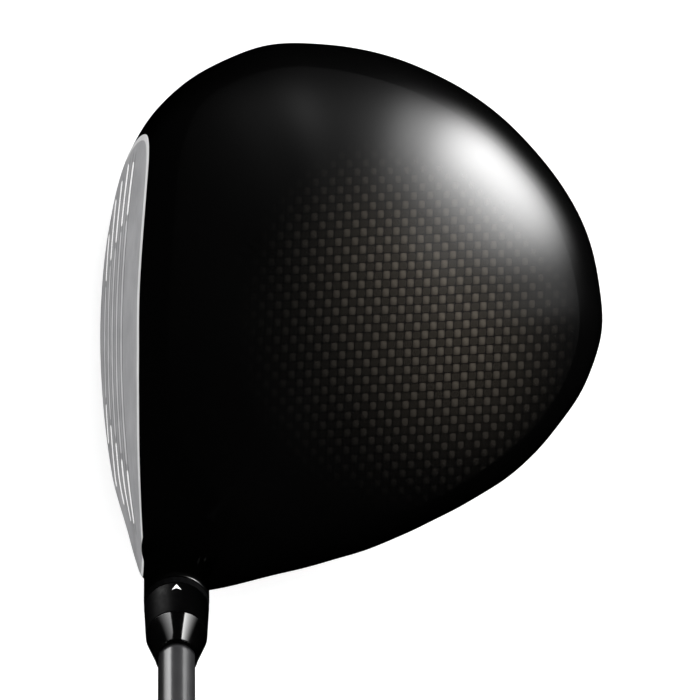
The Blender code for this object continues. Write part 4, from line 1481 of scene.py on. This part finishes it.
def softbox(name, azimuth, elevation, distance, size, radiance, fade):
    """An area light aimed at the head. azimuth turns from +X towards +Y.

    fade takes the light's nodes and its two coordinates, each from -1 to 1, and gives its pattern.
    """
    light = bpy.data.lights.new(name, "AREA")
    light.shape = "RECTANGLE"
    light.size, light.size_y = size
    light.energy = radiance * size[0] * size[1] * math.pi
    light.use_nodes = True
    sheet = Nodes(light.node_tree)
    split = sheet.node("SeparateXYZ", {0: sheet.node("NewGeometry").outputs["Parametric"]})
    u = sheet.math("MULTIPLY_ADD", split.outputs[0], 2.0, -1.0)
    v = sheet.math("MULTIPLY_ADD", split.outputs[1], 2.0, -1.0)
    sheet.feed(light.node_tree.nodes["Emission"].inputs["Strength"], fade(sheet, u, v))
    lamp = bpy.data.objects.new(name, light)
    bpy.context.scene.collection.objects.link(lamp)
    a, e = math.radians(azimuth), math.radians(elevation)
    way = Vector((math.cos(a) * math.cos(e), math.sin(a) * math.cos(e), math.sin(e)))
    lamp.location = Vector((0.0, 0.0, 0.03)) + way * distance
    lamp.rotation_euler = way.to_track_quat("Z", "Y").to_euler()
    lamp.visible_camera = False
    return lamp


def soft_lobe(sheet, u, v):
    """Brightest a little off the middle, fading smoothly to nothing at the edges."""
    du = sheet.minus(u, LOBE_MIDDLE[0])
    right = sheet.over(sheet.math("MAXIMUM", du, 0.0), LOBE_FADE[0])
    left = sheet.over(sheet.math("MINIMUM", du, 0.0), LOBE_FADE[1])
    dv = sheet.minus(v, LOBE_MIDDLE[1])
    up = sheet.over(sheet.math("MAXIMUM", dv, 0.0), LOBE_FADE[2])
    down = sheet.over(sheet.math("MINIMUM", dv, 0.0), LOBE_FADE[3])
    square = sheet.times(right, right)
    for side in (left, up, down):
        square = sheet.plus(square, sheet.times(side, side))
    return sheet.math("EXPONENT", sheet.times(square, -1.0))


def ramp(side, low, high):
    """Brightest along one upright edge; low and high set its strength at its foot and its top."""

    def pattern(sheet, u, v):
        across = sheet.math("MULTIPLY_ADD", u, 0.5 * side, 0.5)
        rise = sheet.math("MULTIPLY_ADD", v, 0.5 * (high - low), 0.5 * (high + low))
        return sheet.times(sheet.math("POWER", across, 1.5), rise)

    return pattern


def link(lamp, things):
    """Let a light reach only these things, as flags round a studio lamp do."""
    group = bpy.data.collections.new(lamp.name + "_receivers")
    for thing in things:
        group.objects.link(thing)
    lamp.light_linking.receiver_collection = group


def strip(name, azimuth, width, spin, radiance, fade, lit):
    """A slim light from below the horizon, turned about its own axis, for a few pieces only."""
    size = (width, STRIP_HEIGHT)
    lamp = softbox(name, azimuth, STRIP_ELEVATION, STRIP_DISTANCE, size, radiance, fade)
    lamp.rotation_euler.rotate_axis("Z", math.radians(spin))
    link(lamp, lit)


CAMERA = Vector((-39.6, -5.9, 2000.0)) * MM
AIM = Vector((1.2, -5.9, 30.0)) * MM
FIELD = 164.7 * MM  # width seen at the aim's distance


def camera():
    """High above the club at address, looking down, with the toe at the top of the picture."""
    data = bpy.data.cameras.new("camera")
    eye = bpy.data.objects.new("camera", data)
    bpy.context.scene.collection.objects.link(eye)
    back = (CAMERA - AIM).normalized()
    right = Vector((0.0, 1.0, 0.0)).cross(back).normalized()
    turn = Matrix((right, back.cross(right), back)).transposed().to_4x4()
    eye.matrix_world = Matrix.Translation(CAMERA) @ turn
    data.sensor_width = 36.0
    data.lens = data.sensor_width * (CAMERA - AIM).length / FIELD
    data.clip_start, data.clip_end = 0.01, 100.0
    bpy.context.scene.camera = eye


# ---------------------------------------------------------------- the club


def paint_node(name, look):
    """A CAD node that stays, with its own look."""
    node = frame["nodes"][name]
    node.data.materials.clear()
    node.data.materials.append(look)


def build():
    black, satin = gloss_paint(), sole_paint()
    hosel = frame_shell(black, satin)
    crown_panel(carbon("carbon_crown", True))
    window = carbon("carbon_sole", False)
    sole_window("sole_panel_toe", SOLE_SEAM_TOE, window)
    sole_window("sole_panel_heel", SOLE_SEAM_HEEL, window)
    satin_titanium = titanium("satin_titanium", (0.40, 0.40, 0.41), (0.31, 0.31, 0.32), 0.5, 0.1)
    # painted shade: darker lines along the groove lips
    plain = painted_groove_shade(satin_titanium, (0.1, 0.1, 0.1))
    # the same titanium painted lighter: a painted highlight in the bare grooves
    groove = titanium("groove_titanium_painted_highlight", (0.56, 0.56, 0.57), (0.46, 0.46, 0.47), 0.5, 0.1).material
    # a polished edge, painted lighter than the face as its highlight
    edge = titanium("polished_edge_painted_highlight", (0.72, 0.72, 0.72), (0.6, 0.6, 0.605), 0.36, 0.1).material
    paint = line_paint()
    face_skin(plain, edge, paint, groove)
    for name, place in WEIGHT_PLACES.items():
        bright = steel(name + "_steel", (0.55, 0.55, 0.56), (0.34, 0.34, 0.35), 0.34, place, 0.7)
        dark = steel(name + "_black_steel", (0.05, 0.05, 0.052), (0.02, 0.02, 0.021), 0.4, place)
        weight_disc(name, bright)
        weight_screw(name, dark)
    anodised_look = anodised()
    index_ring(anodised_look)
    collar = adapter(anodised_look, paint)
    hosel_screw(steel("hosel_screw_steel", (0.05, 0.05, 0.052), (0.02, 0.02, 0.021), 0.38, HOSEL))
    plain_steel = steel("plain_steel", (0.5, 0.5, 0.51), (0.34, 0.34, 0.35), 0.32, HOSEL, 0.7)
    paint_node("screw_washer", plain_steel)
    paint_node("screw_retainer", plain_steel)
    paint_node("tip_plug", soft_look("plug_foam", (0.52, 0.5, 0.42), (0.4, 0.38, 0.3), 0.6))
    paint_node("grip_tape", soft_look("paper_tape", (0.62, 0.58, 0.47), (0.5, 0.46, 0.36), 0.9))
    plastic = gloss_plastic()
    cone = ferrule(plastic)
    ring = ferrule_ring(plastic)
    tube = shaft(shaft_finish())
    rubber = grip_rubber()
    grip(rubber)
    grip_cap(rubber)
    floor()
    world()
    main = softbox("toe_softbox", 39.0, 12.5, 1.3, (2.0, 2.2), 23.0, soft_lobe)
    flagged = {hosel, cone, ring, collar}
    meshes = [thing for thing in bpy.context.scene.objects if thing.type == "MESH"]
    link(main, [thing for thing in meshes if thing not in flagged])
    back, front = ramp(1.0, 0.4, 1.0), ramp(-1.0, 1.0, 0.3)
    strip("strip_back", 51.0, 0.62, -12.0, 13.0, back, [cone])
    strip("strip_back_low", 51.0, 0.62, -12.0, 4.2, back, [tube])
    strip("strip_front", 127.0, 0.55, 18.0, 9.0, front, [cone, collar])
    strip("strip_front_low", 127.0, 0.55, 18.0, 7.0, front, [tube])
    camera()
    bpy.context.scene.view_settings.view_transform = "Standard"


build()
